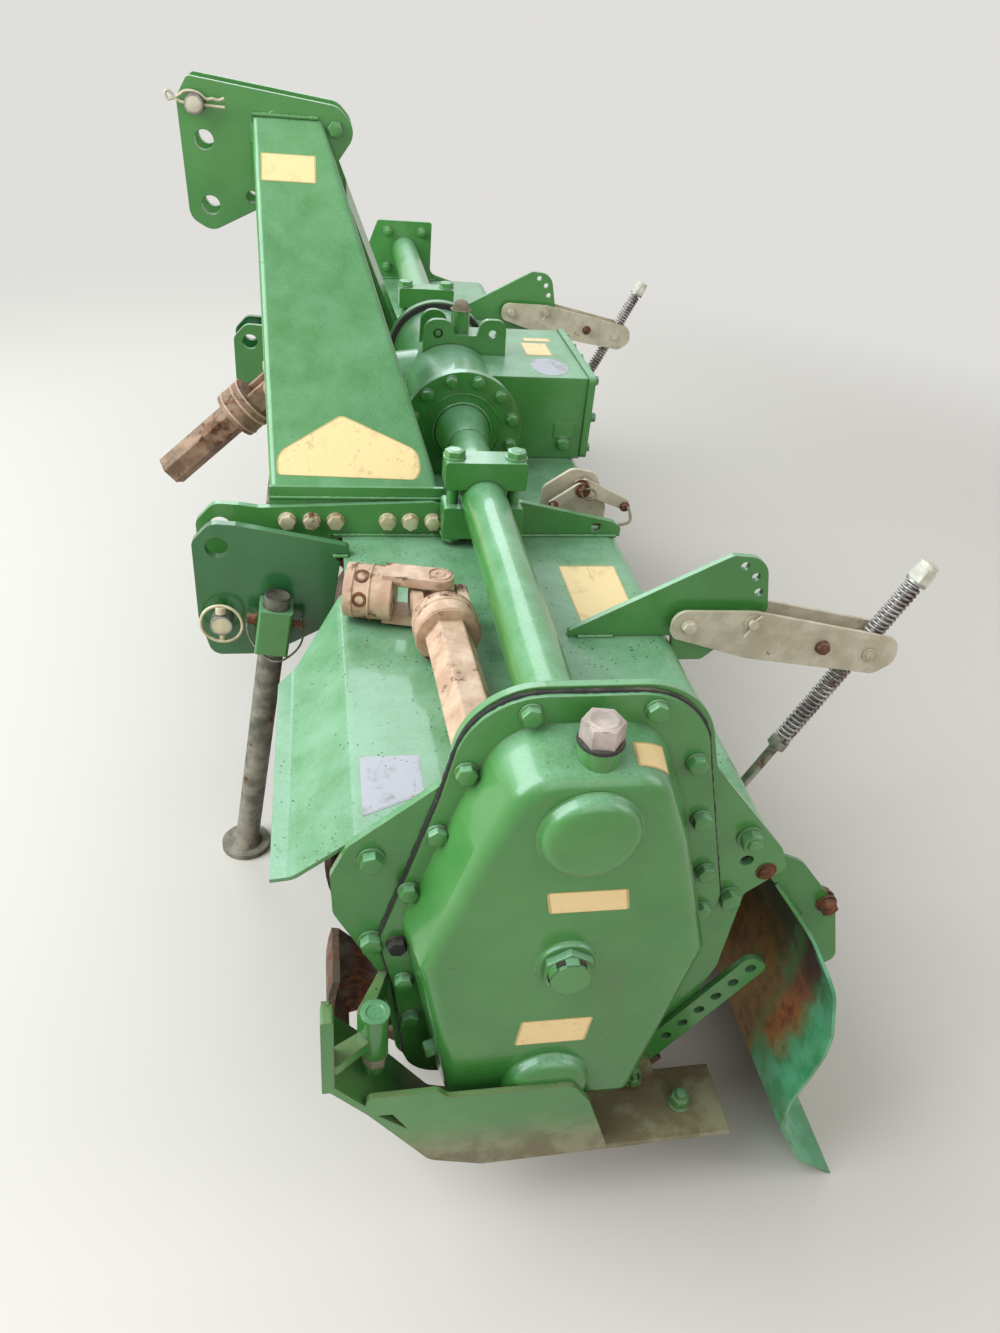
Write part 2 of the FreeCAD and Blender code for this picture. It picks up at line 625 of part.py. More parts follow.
# Tube clamps: a saddle and a cap on the outside of each rail, joined by two bolts
clamp = start_body("clamp")
CLAMP_BLOCKS = (  # name, bottom, top
    ("saddle", size.deck_z + 16, size.tube_z - 9),
    ("cap", size.tube_z + 17, size.tube_z + 55),
)
for name, low, high in CLAMP_BLOCKS:
    add_plate(clamp, "clamp_" + name, (
        (-size.clamp_half, low, 4), (size.clamp_half, low, 4),
        (size.clamp_half, high, 4), (-size.clamp_half, high, 4)), (),
        "Sizes.rail_face", "Sizes.clamp_width")
bolt_x = size.clamp_half - 13
bolt_y = size.rail_face + size.clamp_width / 2
for name, sign in (("front", 1), ("rear", -1)):
    pad(clamp, draw(clamp, "top", "clamp_bolt_" + name, (),
                    ((sign * bolt_x, bolt_y, "Sizes.clamp_bolt_radius"),),
                    "Sizes.deck_z + 6"), "Sizes.tube_z - Sizes.deck_z + 60")
cut_plate(clamp, "clamp_bore", (), ((0, size.tube_z, "Sizes.tube_radius + Sizes.seat_gap"),),
          "Sizes.rail_face - 1", "Sizes.clamp_width + 2")
pair(clamp, "tube_clamp")

# Side gear case: a flange, a bulged cover and its bosses
FLANGE_OUTLINE = (
    (94, size.tube_z + 96, 74),
    (118, size.tube_z - 17, 30),
    (167, 372, 30),
    (151, 300, 60),
    (134, 158, 40),
    (-108, 158, 40),
    (-168, 406, 36),
    (-121, size.tube_z + 20, 30),
    (-104, size.tube_z + 96, 74),
)
CASE_OUTLINE = (
    (66, size.tube_z + 69, 56),
    (104, size.tube_z - 22, 60),
    (147, 400, 30),
    (104, 166, 26),
    (-104, 166, 26),
    (-147, 400, 30),
    (-104, size.tube_z - 22, 60),
    (-66, size.tube_z + 69, 56),
)
case = start_body("case")
add_plate(case, "case_flange", FLANGE_OUTLINE, (), "Sizes.half_width", "Sizes.flange_wall")
bulge = draw(case, "side", "case_bulge", CASE_OUTLINE, (), "-(Sizes.half_width + Sizes.flange_wall - 1)")
pad(case, bulge, "Sizes.case_depth + 1", True, taper=-13)
doc.recompute()
face_y = size.half_width + size.flange_wall + size.case_depth
rim = []
square_rim = case.Tip
for index, item in enumerate(square_rim.Shape.Edges, start=1):
    if all(abs(v.Point.y - face_y) < 0.01 for v in item.Vertexes):
        rim.append(f"Edge{index}")
case_rim = case.newObject("PartDesign::Fillet", "case_rim")
case_rim.Base = (square_rim, rim)
case_rim.setExpression("Radius", "Sizes.case_round")
CASE_BOSSES = (  # name, z, radius, height over the face
    ("tube_dome", size.tube_z, "42", "7"),
    ("idler_seat", size.idler_z, "26", "4"),
    ("idler_nut", size.idler_z, "19", "20"),
    ("rotor_dome", size.rotor_z, "42", "7"),
)
for name, height, radius, rise in CASE_BOSSES:
    pad(case, draw(case, "side", name, (), ((0, height, radius),),
                   "-(Sizes.half_width + Sizes.flange_wall + Sizes.case_depth - 1)"), rise + " + 1", True)
cut_plate(case, "rotor_bearing", (), ((0, size.rotor_z, "Sizes.journal_radius + Sizes.running_gap"),),
          "Sizes.half_width", "Sizes.journal_length + 2")
plug_z = size.tube_z + 44
pad(case, draw(case, "top", "filler_boss", (), ((-5, size.half_width + 40, "19"),), f"{plug_z}"), "30")
pad(case, draw(case, "top", "filler_plug", (), ((-5, size.half_width + 40, "16"),), f"{plug_z}"), "52")
subpart(case, "gear_case")

# Bearing housing of the rotor's right end
bearing = start_body("bearing")
add_plate(bearing, "bearing_flange", (), ((0, size.rotor_z, "82"),), "Sizes.half_width", "10")
add_plate(bearing, "bearing_boss", (), ((0, size.rotor_z, "52"),), "Sizes.half_width + 9", "30")
add_plate(bearing, "bearing_cap", (), ((0, size.rotor_z, "40"),), "Sizes.half_width + 38", "10")
cut_plate(bearing, "bearing_bore", (), ((0, size.rotor_z, "Sizes.journal_radius + Sizes.running_gap"),),
          "Sizes.half_width", "Sizes.journal_length + 2")
mirrored(bearing, "bearing_housing")
bearing.setExpression("Placement.Base.x", "Sizes.origin_x")

# Square plate of the main tube on the right side plate
tube_plate = start_body("tube_plate")
add_plate(tube_plate, "tube_plate_shape", (
    (-62, size.tube_z - 62, 10), (62, size.tube_z - 62, 10),
    (62, size.tube_z + 62, 10), (-62, size.tube_z + 62, 10)), (), "Sizes.half_width", "12")
mirrored(tube_plate, "tube_end_plate")
tube_plate.setExpression("Placement.Base.x", "Sizes.origin_x")


# Rotor: a shaft with discs, each carrying curved tines to both sides in a helical stagger
def tine_shape():
    """One tine: a curved shank in the disc's plane, and a blade bent sideways at its tip."""
    root, tip = size.disc_radius - 26, size.tine_radius
    sweep = math.radians(38)
    at_tip = V(tip * math.sin(sweep), 0, -tip * math.cos(sweep))
    at_middle = V((tip - 62) * math.sin(sweep / 4), 0, -(tip - 62) * math.cos(sweep / 4))
    at_half = V(tip * math.sin(sweep / 2), 0, -tip * math.cos(sweep / 2))
    width = 46
    back_root, front_root = V(-width / 2, 0, -root), V(width / 2, 0, -root)
    inner_tip = at_tip * ((tip - size.tine_wall) / tip)
    heel = at_middle + V(-30, 0, -8)
    throat = at_middle + V(24, 0, 14)
    shank = Part.Wire([
        Part.LineSegment(back_root, front_root).toShape(),
        Part.LineSegment(front_root, throat).toShape(),
        Part.LineSegment(throat, inner_tip).toShape(),
        Part.LineSegment(inner_tip, at_tip).toShape(),
        Part.Arc(at_tip, at_half, V(0, 0, -tip)).toShape(),
        Part.LineSegment(V(0, 0, -tip), heel).toShape(),
        Part.LineSegment(heel, back_root).toShape(),
    ])
    shank = Part.Face(shank).extrude(V(0, size.tine_wall, 0))
    inner = tip - size.tine_wall
    blade = Part.Wire([
        Part.Arc(at_tip, at_half, V(0, 0, -tip)).toShape(),
        Part.LineSegment(V(0, 0, -tip), V(0, 0, -inner)).toShape(),
        Part.Arc(V(0, 0, -inner), at_half * (inner / tip), at_tip * (inner / tip)).toShape(),
        Part.LineSegment(at_tip * (inner / tip), at_tip).toShape(),
    ])
    blade = Part.Face(blade).extrude(V(0, size.tine_reach, 0))
    return shank.fuse(blade).removeSplitter()


def rotor_shape():
    """The whole rotor about its own axis."""
    half = size.half_width - size.side_wall - size.end_gap
    pieces = [Part.makeCylinder(size.shaft_radius, 2 * half, V(0, -half, 0), V(*LEFT))]
    reach = size.half_width + size.journal_length
    pieces.append(Part.makeCylinder(size.journal_radius, 2 * reach, V(0, -reach, 0), V(*LEFT)))
    outward = tine_shape().translate(V(0, size.disc_wall / 2 - 0.5, 0))
    inward = outward.mirror(V(0, 0, 0), V(*LEFT))
    count, sides = int(size.disc_count), int(size.tines_per_side)
    pitch = 2 * (half - size.disc_margin) / (count - 1)
    step = 360 / sides
    stagger = step / 2 / count
    for disc in range(count):
        y = (disc - (count - 1) / 2) * pitch
        pieces.append(Part.makeCylinder(size.disc_radius, size.disc_wall,
                                        V(0, y - size.disc_wall / 2, 0), V(*LEFT)))
        for tine in range(sides):
            for shape, half_step in ((outward, 0), (inward, step / 2)):
                turned = shape.copy()
                turned.rotate(V(0, 0, 0), V(*LEFT), tine * step + half_step + disc * stagger)
                turned.translate(V(0, y, 0))
                pieces.append(turned)
    whole = pieces[0].multiFuse(pieces[1:])
    whole.translate(V(0, 0, size.rotor_z))
    return whole


rotor = doc.addObject("Part::Feature", "rotor")
rotor.Shape = rotor_shape()
subpart(rotor, "rotor")

# Rear board: hinge rod, sheet on a barrel, wings at the ends and the eyes of the spring rods
board_half = size.half_width - size.side_wall - size.end_gap
hinge_rod = start_body("hinge")
add_plate(hinge_rod, "hinge_bar", (), ((size.hinge_x, size.hinge_z, "Sizes.hinge_radius"),),
          "-(Sizes.half_width + 4)", "2 * (Sizes.half_width + 4)")
subpart(hinge_rod, "hinge_rod")

BOARD_PATH = [(size.hinge_x + back, z) for back, z in (  # the rear side, from the tail up to the barrel
    (-155, 0),
    (-105, 40),
    (-66, size.hinge_z - 319),
    (-64, size.hinge_z - 271),
    (-87, size.hinge_z - 169),
    (-83, size.hinge_z - 121),
    (-66, size.hinge_z - 83),
    (-13, size.hinge_z - 4),
)]
board = start_body("board")
board_section = folded(BOARD_PATH, size.board_wall, 30)
board_section = [(x, max(z, 0), radius) for x, z, radius in board_section]
add_plate(board, "board_sheet", board_section, (), f"-{board_half}", f"2 * {board_half}")
add_plate(board, "board_barrel", (), ((size.hinge_x, size.hinge_z,
                                       "Sizes.hinge_radius + Sizes.running_gap + Sizes.barrel_wall"),),
          f"-{board_half}", f"2 * {board_half}")
low_section = folded(BOARD_PATH[:-1] + [(size.hinge_x - 28, size.hinge_z - 36)], size.board_wall, 30)
add_plate(board, "board_wings", [(x, max(z, 0), radius) for x, z, radius in low_section], (),
          "-(Sizes.half_width + Sizes.wing_reach)", "2 * (Sizes.half_width + Sizes.wing_reach)")
wing_y = size.half_width + size.wing_reach
for side, sign in (("left", 1), ("right", -1)):  # the wings' outer edges
    beyond = [(sign * y, z) for y, z in (
        (board_half, size.hinge_z + 40), (board_half, size.hinge_z - 34),
        (board_half + 20, size.hinge_z - 70), (wing_y - 35, size.hinge_z - 106),
        (wing_y - 21, size.hinge_z - 132), (wing_y - 2, size.hinge_z - 190),
        (wing_y + 1, size.hinge_z - 240), (wing_y + 1, size.hinge_z + 40))]
    trim = draw(board, "front", "wing_edge_" + side, beyond, offset="Sizes.hinge_x - 300")
    pocket(board, trim, "340", True)
RIB_OUTLINE = [(size.hinge_x + x, size.hinge_z + z, radius) for x, z, radius in (
    (-6, -14, 0), (-12, 8, 4), (-50, -10, 30), (-104, -76, 40), (-130, -164, 14), (-85, -196, 0),
    (-84, -170, 0), (-80, -122, 0), (-63, -84, 0))]
for name, inner in (("rib_left", f"{board_half} - Sizes.wing_wall"), ("rib_right", f"-{board_half}")):
    add_plate(board, name, RIB_OUTLINE, ((size.hinge_x - 92, size.hinge_z - 72, "6"),), inner,
              "Sizes.wing_wall")
EYE_OUTLINE = (
    (size.hinge_x - 77, size.eye_z + 26, 0), (size.eye_x, size.eye_z + 14, 13),
    (size.eye_x - 14, size.eye_z, 12),
    (size.eye_x, size.eye_z - 14, 13), (size.hinge_x - 64, size.eye_z - 30, 0),
)
eye_gap = size.rod_radius + 3
for side, middle in (("left", "Sizes.spring_y"), ("right", "-Sizes.spring_y")):
    for name, inner in (("out", f"{middle} + {eye_gap}"), ("in", f"{middle} - {eye_gap} - 5")):
        add_plate(board, f"eye_{name}_{side}", EYE_OUTLINE, (), inner, "5")
    add_plate(board, f"eye_pin_{side}", (), ((size.eye_x, size.eye_z, "Sizes.eye_pin_radius"),),
              f"{middle} - {eye_gap} - 8", f"2 * {eye_gap} + 16")
barrel_bore = (size.hinge_x, size.hinge_z, "Sizes.hinge_radius + Sizes.running_gap")
cut_plate(board, "barrel_bore", (), (barrel_bore,), f"-{board_half} - 1", f"2 * {board_half} + 2")
subpart(board, "rear_board")

# Spring brackets on the hood's rear edge
BRACKET_LOW = 456
(rear_x, rear_z), (bend_x, bend_z) = HOOD_PATH[:2]
slope_x = rear_x + (BRACKET_LOW - rear_z) * (bend_x - rear_x) / (bend_z - rear_z) - size.seat_gap
BRACKET_OUTLINE = (
    (-75, size.deck_z, 0),
    (-75, size.deck_z + 8, 4),
    (-262, 602, 14),
    (-306, 598, 30),
    (-322, 526, 14),
    (-250, BRACKET_LOW, 8),
    (slope_x, BRACKET_LOW, 0),
    (bend_x - size.seat_gap, size.deck_z, 0),
)
ARM_HOLES = ((-217, 515.5), (-297, 520))
ARM_SPACER = (-398, 483)
bracket = start_body("bracket")
arm_hole = "Sizes.arm_pin_radius + Sizes.seat_gap"
BRACKET_HOLES = [(x, z, arm_hole) for x, z in ARM_HOLES] + [
    (-279, 588, "5.5"), (-296, 573, "5.5"), (-304, 552, "5.5")]
add_plate(bracket, "bracket_shape", BRACKET_OUTLINE, BRACKET_HOLES,
          "Sizes.spring_y - Sizes.bracket_wall / 2", "Sizes.bracket_wall")
pair(bracket, "spring_bracket")

# Spring arms: two flat bars joined by pins, with bushes beside the bracket
ARM_OUTLINE = (
    (-196, 536, 18), (-196, 500, 14), (-300, 468, 20), (-480, 440, 20), (-506, 458, 20), (-500, 492, 20),
    (-300, 534, 30),
)
arms = start_body("arms")
trunnion_hole = ((size.trunnion_x, size.trunnion_z, "Sizes.arm_pin_radius + Sizes.running_gap"),)
for name, inner in (("outer", "Sizes.spring_y + Sizes.arm_gap / 2"),
                    ("inner", "Sizes.spring_y - Sizes.arm_gap / 2 - Sizes.arm_wall")):
    add_plate(arms, "arm_" + name, ARM_OUTLINE, trunnion_hole, inner, "Sizes.arm_wall")
for index, (x, z) in enumerate(ARM_HOLES + (ARM_SPACER,)):
    add_plate(arms, f"arm_pin_{index}", (), ((x, z, "Sizes.arm_pin_radius"),),
              "Sizes.spring_y - Sizes.arm_gap / 2 - Sizes.arm_wall - 8",
              "Sizes.arm_gap + 2 * Sizes.arm_wall + 16")
pair(arms, "spring_arms")

# Spring rod, its trunnion, springs and collars; all lie along the rod
rod_way = V(size.trunnion_x - size.eye_x, 0, size.trunnion_z - size.eye_z)
rod_length = rod_way.Length
rod_up = rod_way.normalize()
trunnion_at = V(size.trunnion_x, size.spring_y, size.trunnion_z)
eye_at = V(size.eye_x, size.spring_y, size.eye_z)


def along(distance):
    """A point on the rod, from the trunnion upwards."""
    return tuple(trunnion_at + rod_up * distance)


trunnion_half = size.arm_gap / 2 - 1
trunnion_body = fused("trunnion_whole", [
    cylinder("trunnion_block", (size.trunnion_x, size.spring_y - trunnion_half, size.trunnion_z), LEFT,
             "Sizes.trunnion_radius", f"{2 * trunnion_half}"),
    cylinder("trunnion_pins", (size.trunnion_x, size.spring_y - size.arm_gap / 2 - size.arm_wall - 4,
                               size.trunnion_z), LEFT,
             "Sizes.arm_pin_radius", "Sizes.arm_gap + 2 * Sizes.arm_wall + 8"),
])
trunnion_bore = cylinder("trunnion_bore", along(-40), tuple(rod_up),
                         "Sizes.rod_radius + Sizes.running_gap", "80")
pair(cut("trunnion", trunnion_body, [trunnion_bore]), "trunnion")


def spring_item(name, first, length, turns):
    """A coil spring as a ridged sleeve round the rod."""
    pitch = length / turns
    inner = size.rod_radius + size.seat_gap
    low = size.spring_radius - 1.6 * size.wire_radius
    section = [(inner, 0)]
    for turn in range(turns):
        section.append((low, turn * pitch))
        section.append((size.spring_radius, (turn + 0.5) * pitch))
    section += [(low, length), (inner, length), (inner, 0)]
    profile = [V(*along(first + up)) + V(*LEFT) * radius for radius, up in section]
    item = doc.addObject("Part::Feature", name)
    item.Shape = Part.Face(Part.makePolygon(profile)).revolve(V(*along(first)), rod_up, 360)
    return item


seat = size.trunnion_radius + 1.5
lower_end = -seat - size.lower_spring
ROD_COLLARS = (  # name, start along the rod, length, radius
    ("rod_top_nut", size.rod_top - 26, 26, 12),
    ("rod_top_washer", seat + size.upper_spring + 1, 4, 14),
    ("rod_low_collar", lower_end - 13, 12, 13),
)
rod_items = [cylinder("rod_bar", tuple(eye_at + rod_up * 11), tuple(rod_up), "Sizes.rod_radius",
                      f"{rod_length + size.rod_top - 13}")]
for name, start, length, radius in ROD_COLLARS:
    rod_items.append(cylinder(name, along(start), tuple(rod_up), str(radius), str(length)))
eye_ring = size.eye_pin_radius + size.eye_play + 5
rod_items.append(cylinder("rod_eye", (size.eye_x, size.spring_y - size.rod_radius - 1, size.eye_z), LEFT,
                          str(eye_ring), "2 * Sizes.rod_radius + 2"))
rod_whole = cut("spring_rod", fused("rod_whole", rod_items), [
    cylinder("rod_eye_hole", (size.eye_x, size.spring_y - size.rod_radius - 2, size.eye_z), LEFT,
             "Sizes.eye_pin_radius + Sizes.eye_play", "2 * Sizes.rod_radius + 4")])
pair(rod_whole, "spring_rod")
pair(spring_item("spring_up", seat, size.upper_spring, int(size.upper_turns)), "upper_spring")
pair(spring_item("spring_low", lower_end - 0.5, size.lower_spring, int(size.lower_turns)), "lower_spring")

# Stand sockets on the hitch plates, and the leaning stand legs that slide in them
lean = math.radians(size.stand_lean)
leg_up = V(-math.sin(lean), 0, math.cos(lean))
socket_y = size.ear_face + size.socket_half
socket_at = V(size.socket_x, socket_y, size.socket_z)
half = size.socket_half
SOCKET_OUTLINE = ((-half, -half, 4), (half, -half, 4), (half, half, 4), (-half, half, 4))
socket_block = prism("socket_block", SOCKET_OUTLINE,
                     FreeCAD.Placement(socket_at - leg_up * (size.socket_height / 2),
                                       FreeCAD.Rotation(V(*LEFT), -size.stand_lean)),
                     "Sizes.socket_height")
socket_bore = cylinder("socket_bore", tuple(socket_at - leg_up * 60), tuple(leg_up),
                       "Sizes.stand_radius + Sizes.stand_gap", "120")
pair(cut("socket", socket_block, [socket_bore]), "stand_socket")

foot_drop = size.socket_z / math.cos(lean)
foot_at = socket_at - leg_up * foot_drop
stand = fused("stand", [
    cylinder("stand_pipe", tuple(foot_at + leg_up * (size.foot_wall + 1)), tuple(leg_up),
             "Sizes.stand_radius", f"{foot_drop + size.stand_above - size.foot_wall - 1}"),
    cylinder("stand_foot", (foot_at.x, foot_at.y, 0), UP, "Sizes.foot_radius", "Sizes.foot_wall"),
    cone("stand_ankle", (foot_at.x, foot_at.y, size.foot_wall), UP, "Sizes.stand_radius + 7",
         "Sizes.stand_radius - 2", "18"),
])
pair(stand, "stand_leg")

# Skids: a sole bent up at the front, a guard along its outer edge, a pivot tube and a lug
SOLE_PATH = (  # x, z of the underside, from the rear to the front
    (-213, size.skid_z + 8),
    (60, size.skid_z),
    (116, size.skid_z + 18),
    (180, size.skid_z + 110),
    (222, size.skid_z + 160),
    (223, size.skid_z + 182),
)
skid = start_body("skid")
skid_inner = "Sizes.half_width + Sizes.strap_wall"
add_plate(skid, "skid_sole", folded(SOLE_PATH[::-1], size.skid_wall, 14), (), skid_inner, "Sizes.skid_width")
GUARD_OUTLINE = (
    (-76, size.skid_z + 6, 0), (60, size.skid_z + 4, 0), (114, size.skid_z + 22, 0),
    (184, size.skid_z + 118, 0),
    (180, size.guard_top + 10, 6), (112, size.guard_top + 12, 8), (102, size.guard_top, 8),
    (-24, size.guard_top, 16), (-44, size.guard_top - 30, 20),
)
NOTCH = ((170, size.guard_top - 20), (156, size.guard_top - 20), (140, size.guard_top - 48))
guard_inner = skid_inner + " + Sizes.skid_width - Sizes.guard_wall"
add_plate(skid, "skid_guard", GUARD_OUTLINE, (), guard_inner, "Sizes.guard_wall")
cut_plate(skid, "skid_notch", NOTCH, (), guard_inner + " - 1", "Sizes.guard_wall + 2")
LUG_OUTLINE = (
    (-150, size.skid_z + 6, 0), (-86, size.skid_z + 6, 0), (-96, size.skid_z + 46, 14),
    (-138, size.skid_z + 46, 14),
)
add_plate(skid, "skid_lug", LUG_OUTLINE, ((-118, size.skid_z + 28, "7"),),
          skid_inner, "8")
front_low, front_high = size.skid_z + 152, size.skid_z + 258
FRONT_POST = ((211, front_low), (223, front_low), (223, front_high, 3), (211, front_high, 3))
add_plate(skid, "skid_post", FRONT_POST, (), skid_inner + " + Sizes.skid_width - 20", "20")
pivot_top = size.pivot_z + size.pivot_height
pivot_y = size.half_width + size.pivot_out
pad(skid, draw(skid, "top", "skid_pivot", (), ((size.pivot_x, pivot_y, "13"),), "Sizes.pivot_z"),
    "Sizes.pivot_height")
pad(skid, draw(skid, "top", "skid_bolt", (), ((size.pivot_x, pivot_y, "10"),),
               "Sizes.pivot_z - 26"), "28")
PIVOT_BAR = (
    (size.pivot_x, pivot_y - 8), (220, pivot_y + 20), (220, pivot_y + 36),
    (208, pivot_y + 36), (size.pivot_x, pivot_y + 8),
)
pad(skid, draw(skid, "top", "skid_pivot_bar", PIVOT_BAR, offset=f"{pivot_top - 38}"), "12")
PIVOT_ARM = (
    (157, size.half_width), (166, size.half_width), (size.pivot_x + 18, pivot_y - 4, 6),
    (size.pivot_x + 10, pivot_y + 6, 4), (size.pivot_x + 4, pivot_y),
)
pad(skid, draw(skid, "top", "skid_pivot_arm", PIVOT_ARM, offset="Sizes.pivot_z + 4"),
    "Sizes.pivot_height - 6")
pair(skid, "skid")

# Skid straps: bars with a row of holes, from the skid's lug up the side plate's rear edge
strap_low, strap_high = V(-112, size.skid_z + 18, 0), V(-236, size.skid_z + 194, 0)
strap_run = (strap_high - strap_low).normalize()
strap_side = V(strap_run.y, -strap_run.x, 0) * 16
STRAP_OUTLINE = [(p.x, p.y, 12) for p in (
    strap_low + strap_side, strap_high + strap_side, strap_high - strap_side, strap_low - strap_side)]
strap_length = strap_low.distanceToPoint(strap_high)
strap = start_body("strap")
strap_holes = []
for step in range(6):
    at = strap_low + strap_run * (strap_length - 14 - 26 * step)
    strap_holes.append((at.x, at.y, "6"))
add_plate(strap, "strap_shape", STRAP_OUTLINE, strap_holes, "Sizes.half_width", "Sizes.strap_wall")
pair(strap, "skid_strap")

# Input shaft's yoke and the half of the drive shaft that hangs from it
cross_at = V(size.cross_x, 0, size.tube_z)
drop = math.radians(size.shaft_drop)
drop_way = V(math.cos(drop), 0, -math.sin(drop))
drop_rotation = FreeCAD.Rotation(V(*LEFT), size.shaft_drop)


def yoke(name, cross, way, ears_way, hub_start, hub_length, hub_radius):
    """A joint yoke: a hub and two ears that hold the cross's pins along ears_way."""
    side = V(*ears_way)
    hub_at = tuple(cross - way * hub_start)
    items = [cylinder(name + "_hub", hub_at, tuple(way), str(hub_radius), str(hub_length))]
    ear_length = hub_start - hub_length + 12
    for tag, sign in (("a", 1), ("b", -1)):
        centre = cross + side * (sign * 26)
        items.append(cylinder(f"{name}_boss_{tag}", tuple(centre - side * 6), tuple(side), "17", "12"))
        ear = doc.addObject("Part::Box", f"{name}_ear_{tag}")
        ear.Length, ear.Width, ear.Height = ear_length, 33, 12
        up = side
        across = up.cross(way)
        rotation = FreeCAD.Rotation(way, across, up, "XZY")
        start = centre - way * ear_length - across * 16.5 - up * 6
        ear.Placement = FreeCAD.Placement(start, rotation)
        items.append(ear)
    return items


def cross_pin(name, cross, side, length):
    """One bar of a joint's cross."""
    start = tuple(cross - V(*side) * (length / 2))
    return cylinder(name, start, tuple(side), "Sizes.cross_radius", str(length))


hub_hole = cylinder("hub_hole", (size.snout_end + 1, 0, size.tube_z), FORWARD,
                    "Sizes.spline_radius + Sizes.seat_gap", "Sizes.spline_end - Sizes.snout_end")
bored_yoke = cut("input_yoke_bored", fused("input_yoke_whole", yoke(
    "input", cross_at, V(*FORWARD), UP, size.cross_x - size.snout_end - 4, 40, 32)), [hub_hole])
input_cross = fused("input_with_cross", [bored_yoke, cross_pin("input_cross_bar", cross_at, UP, 60)])
subpart(input_cross, "input_yoke")

# Star profile of the drive shaft's tubes
LOBES = 6


def star(outer, inner_share=0.84):
    """A profile tube's section with rounded lobes."""
    corners = []
    for index in range(2 * LOBES):
        radius = outer if index % 2 == 0 else outer * inner_share
        angle = math.pi * index / LOBES
        corners.append((radius * math.cos(angle), radius * math.sin(angle), 2.5))
    return corners


def profile_tube(name, cross, way, first, last):
    """A star-shaped tube along a direction."""
    place = FreeCAD.Placement(cross + way * first, FreeCAD.Rotation(V(0, 0, 1), way))
    outer = prism(name + "_outer", star(size.profile_radius), place, str(last - first))
    hollow = star(size.profile_radius - size.profile_wall)
    inner = prism(name + "_inner", hollow, place, str(last - first + 1))
    return cut(name, outer, [inner])


def ring(name, cross, way, first, length, radius, bore):
    """A collar round a tube."""
    outside = cylinder(name + "_out", tuple(cross + way * first), tuple(way), str(radius), str(length))
    hole = cylinder(name + "_hole", tuple(cross + way * (first - 1)), tuple(way), str(bore), str(length + 2))
    return cut(name, outside, [hole])


hanging = [
    profile_tube("hanging_tube", cross_at, drop_way, size.profile_start, size.profile_end),
    ring("hanging_collar", cross_at, drop_way, size.profile_start - 18, 44, 40, 19),
]
hanging_yoke = yoke("hanging", cross_at, drop_way * -1, LEFT, 50, 8, 34)
hanging_bar = cross_pin("hanging_bar", cross_at, LEFT, 60)
hanging_whole = fused("hanging_whole", hanging + hanging_yoke)
hanging_bores = [cylinder("hanging_bore", tuple(cross_at - V(*LEFT) * 40), LEFT,
                          "Sizes.cross_radius + Sizes.running_gap", "80")]
subpart(cut("hanging_shaft", hanging_whole, hanging_bores), "hanging_shaft_half")

# The hanging half turns on its own bar of the cross, which the input yoke holds
input_cross.Shapes = input_cross.Shapes + [hanging_bar]

# The drive shaft's other half lies on the deck, in front of the main tube
LOOSE_AT = V(80, size.rail_face + size.loose_reach, size.deck_z + 36 + size.seat_gap)
loose_way = V(-0.04, 1, 0).normalize()
loose_out = V(1, -0.235, 0).normalize()
loose_side = tuple(loose_way.cross(V(*UP)))
loose_end = size.half_width - size.side_wall - size.loose_room - LOOSE_AT.y
loose = [
    profile_tube("loose_tube", LOOSE_AT, loose_way, size.profile_start, loose_end),
    ring("loose_collar", LOOSE_AT, loose_way, size.profile_start - 18, 40, 36, 19),
]
loose += yoke("loose_inner", LOOSE_AT, loose_way * -1, loose_side, 50, 8, 32)
loose += yoke("loose_outer", LOOSE_AT, loose_out * -1, UP, 108, 56, 32)
loose += [cross_pin("loose_bar_a", LOOSE_AT, UP, 60), cross_pin("loose_bar_b", LOOSE_AT, loose_side, 60)]
loose_hole = cylinder("loose_hole", tuple(LOOSE_AT + loose_out * 56), tuple(loose_out),
                      "Sizes.spline_radius + Sizes.running_gap", "60")
subpart(cut("loose_shaft", fused("loose_whole", loose), [loose_hole]), "loose_shaft_half")

# Lever bracket behind the left rail, with its levers and rod
LEVER_PLATE = (
    (-96, size.deck_z, 0), (-100, size.deck_z + 50, 10), (-140, size.deck_z + 78, 16),
    (-176, size.deck_z + 72, 16), (-196, size.deck_z + 20, 10), (-196, size.deck_z, 0),
)
levers = start_body("levers")
add_plate(levers, "lever_plate", LEVER_PLATE, (), "344", "6")
add_plate(levers, "lever_pivot", (), ((-152, size.deck_z + 56, "7"),), "344", "30")
add_plate(levers, "lever_bar", (
    (-140, size.deck_z + 58, 6), (-158, size.deck_z + 68, 6), (-228, size.deck_z + 34, 6),
    (-222, size.deck_z + 20, 6), (-150, size.deck_z + 46, 6)), (), "356", "6")
add_plate(levers, "lever_short", (
    (-148, size.deck_z + 66, 5), (-104, size.deck_z + 34, 5), (-112, size.deck_z + 24, 5),
    (-158, size.deck_z + 54, 5)), (), "366", "5")
subpart(levers, "lever_bracket")

doc.recompute()

faults = []
for item in doc.Objects:
    if "Invalid" in item.State or "Error" in item.State:
        faults.append(f"{item.Name}: {item.State}")
for item in SUBPARTS:
    shape = item.Shape
    if shape.isNull() or not shape.isValid() or not shape.Solids:
        faults.append(f"{item.Label}: shape is null, invalid or not solid")
if faults:
    raise SystemExit("\n".join(faults))

os.makedirs("parts", exist_ok=True)
whole = FreeCAD.BoundBox()
for item in SUBPARTS:
    item.Shape.exportStep(f"parts/{item.Label}.step")
    whole.add(item.Shape.BoundBox)
    print(f"{item.Label:22s} solids {len(item.Shape.Solids)} volume {item.Shape.Volume / 1000:9.1f} cm3")
print("whole:", whole)
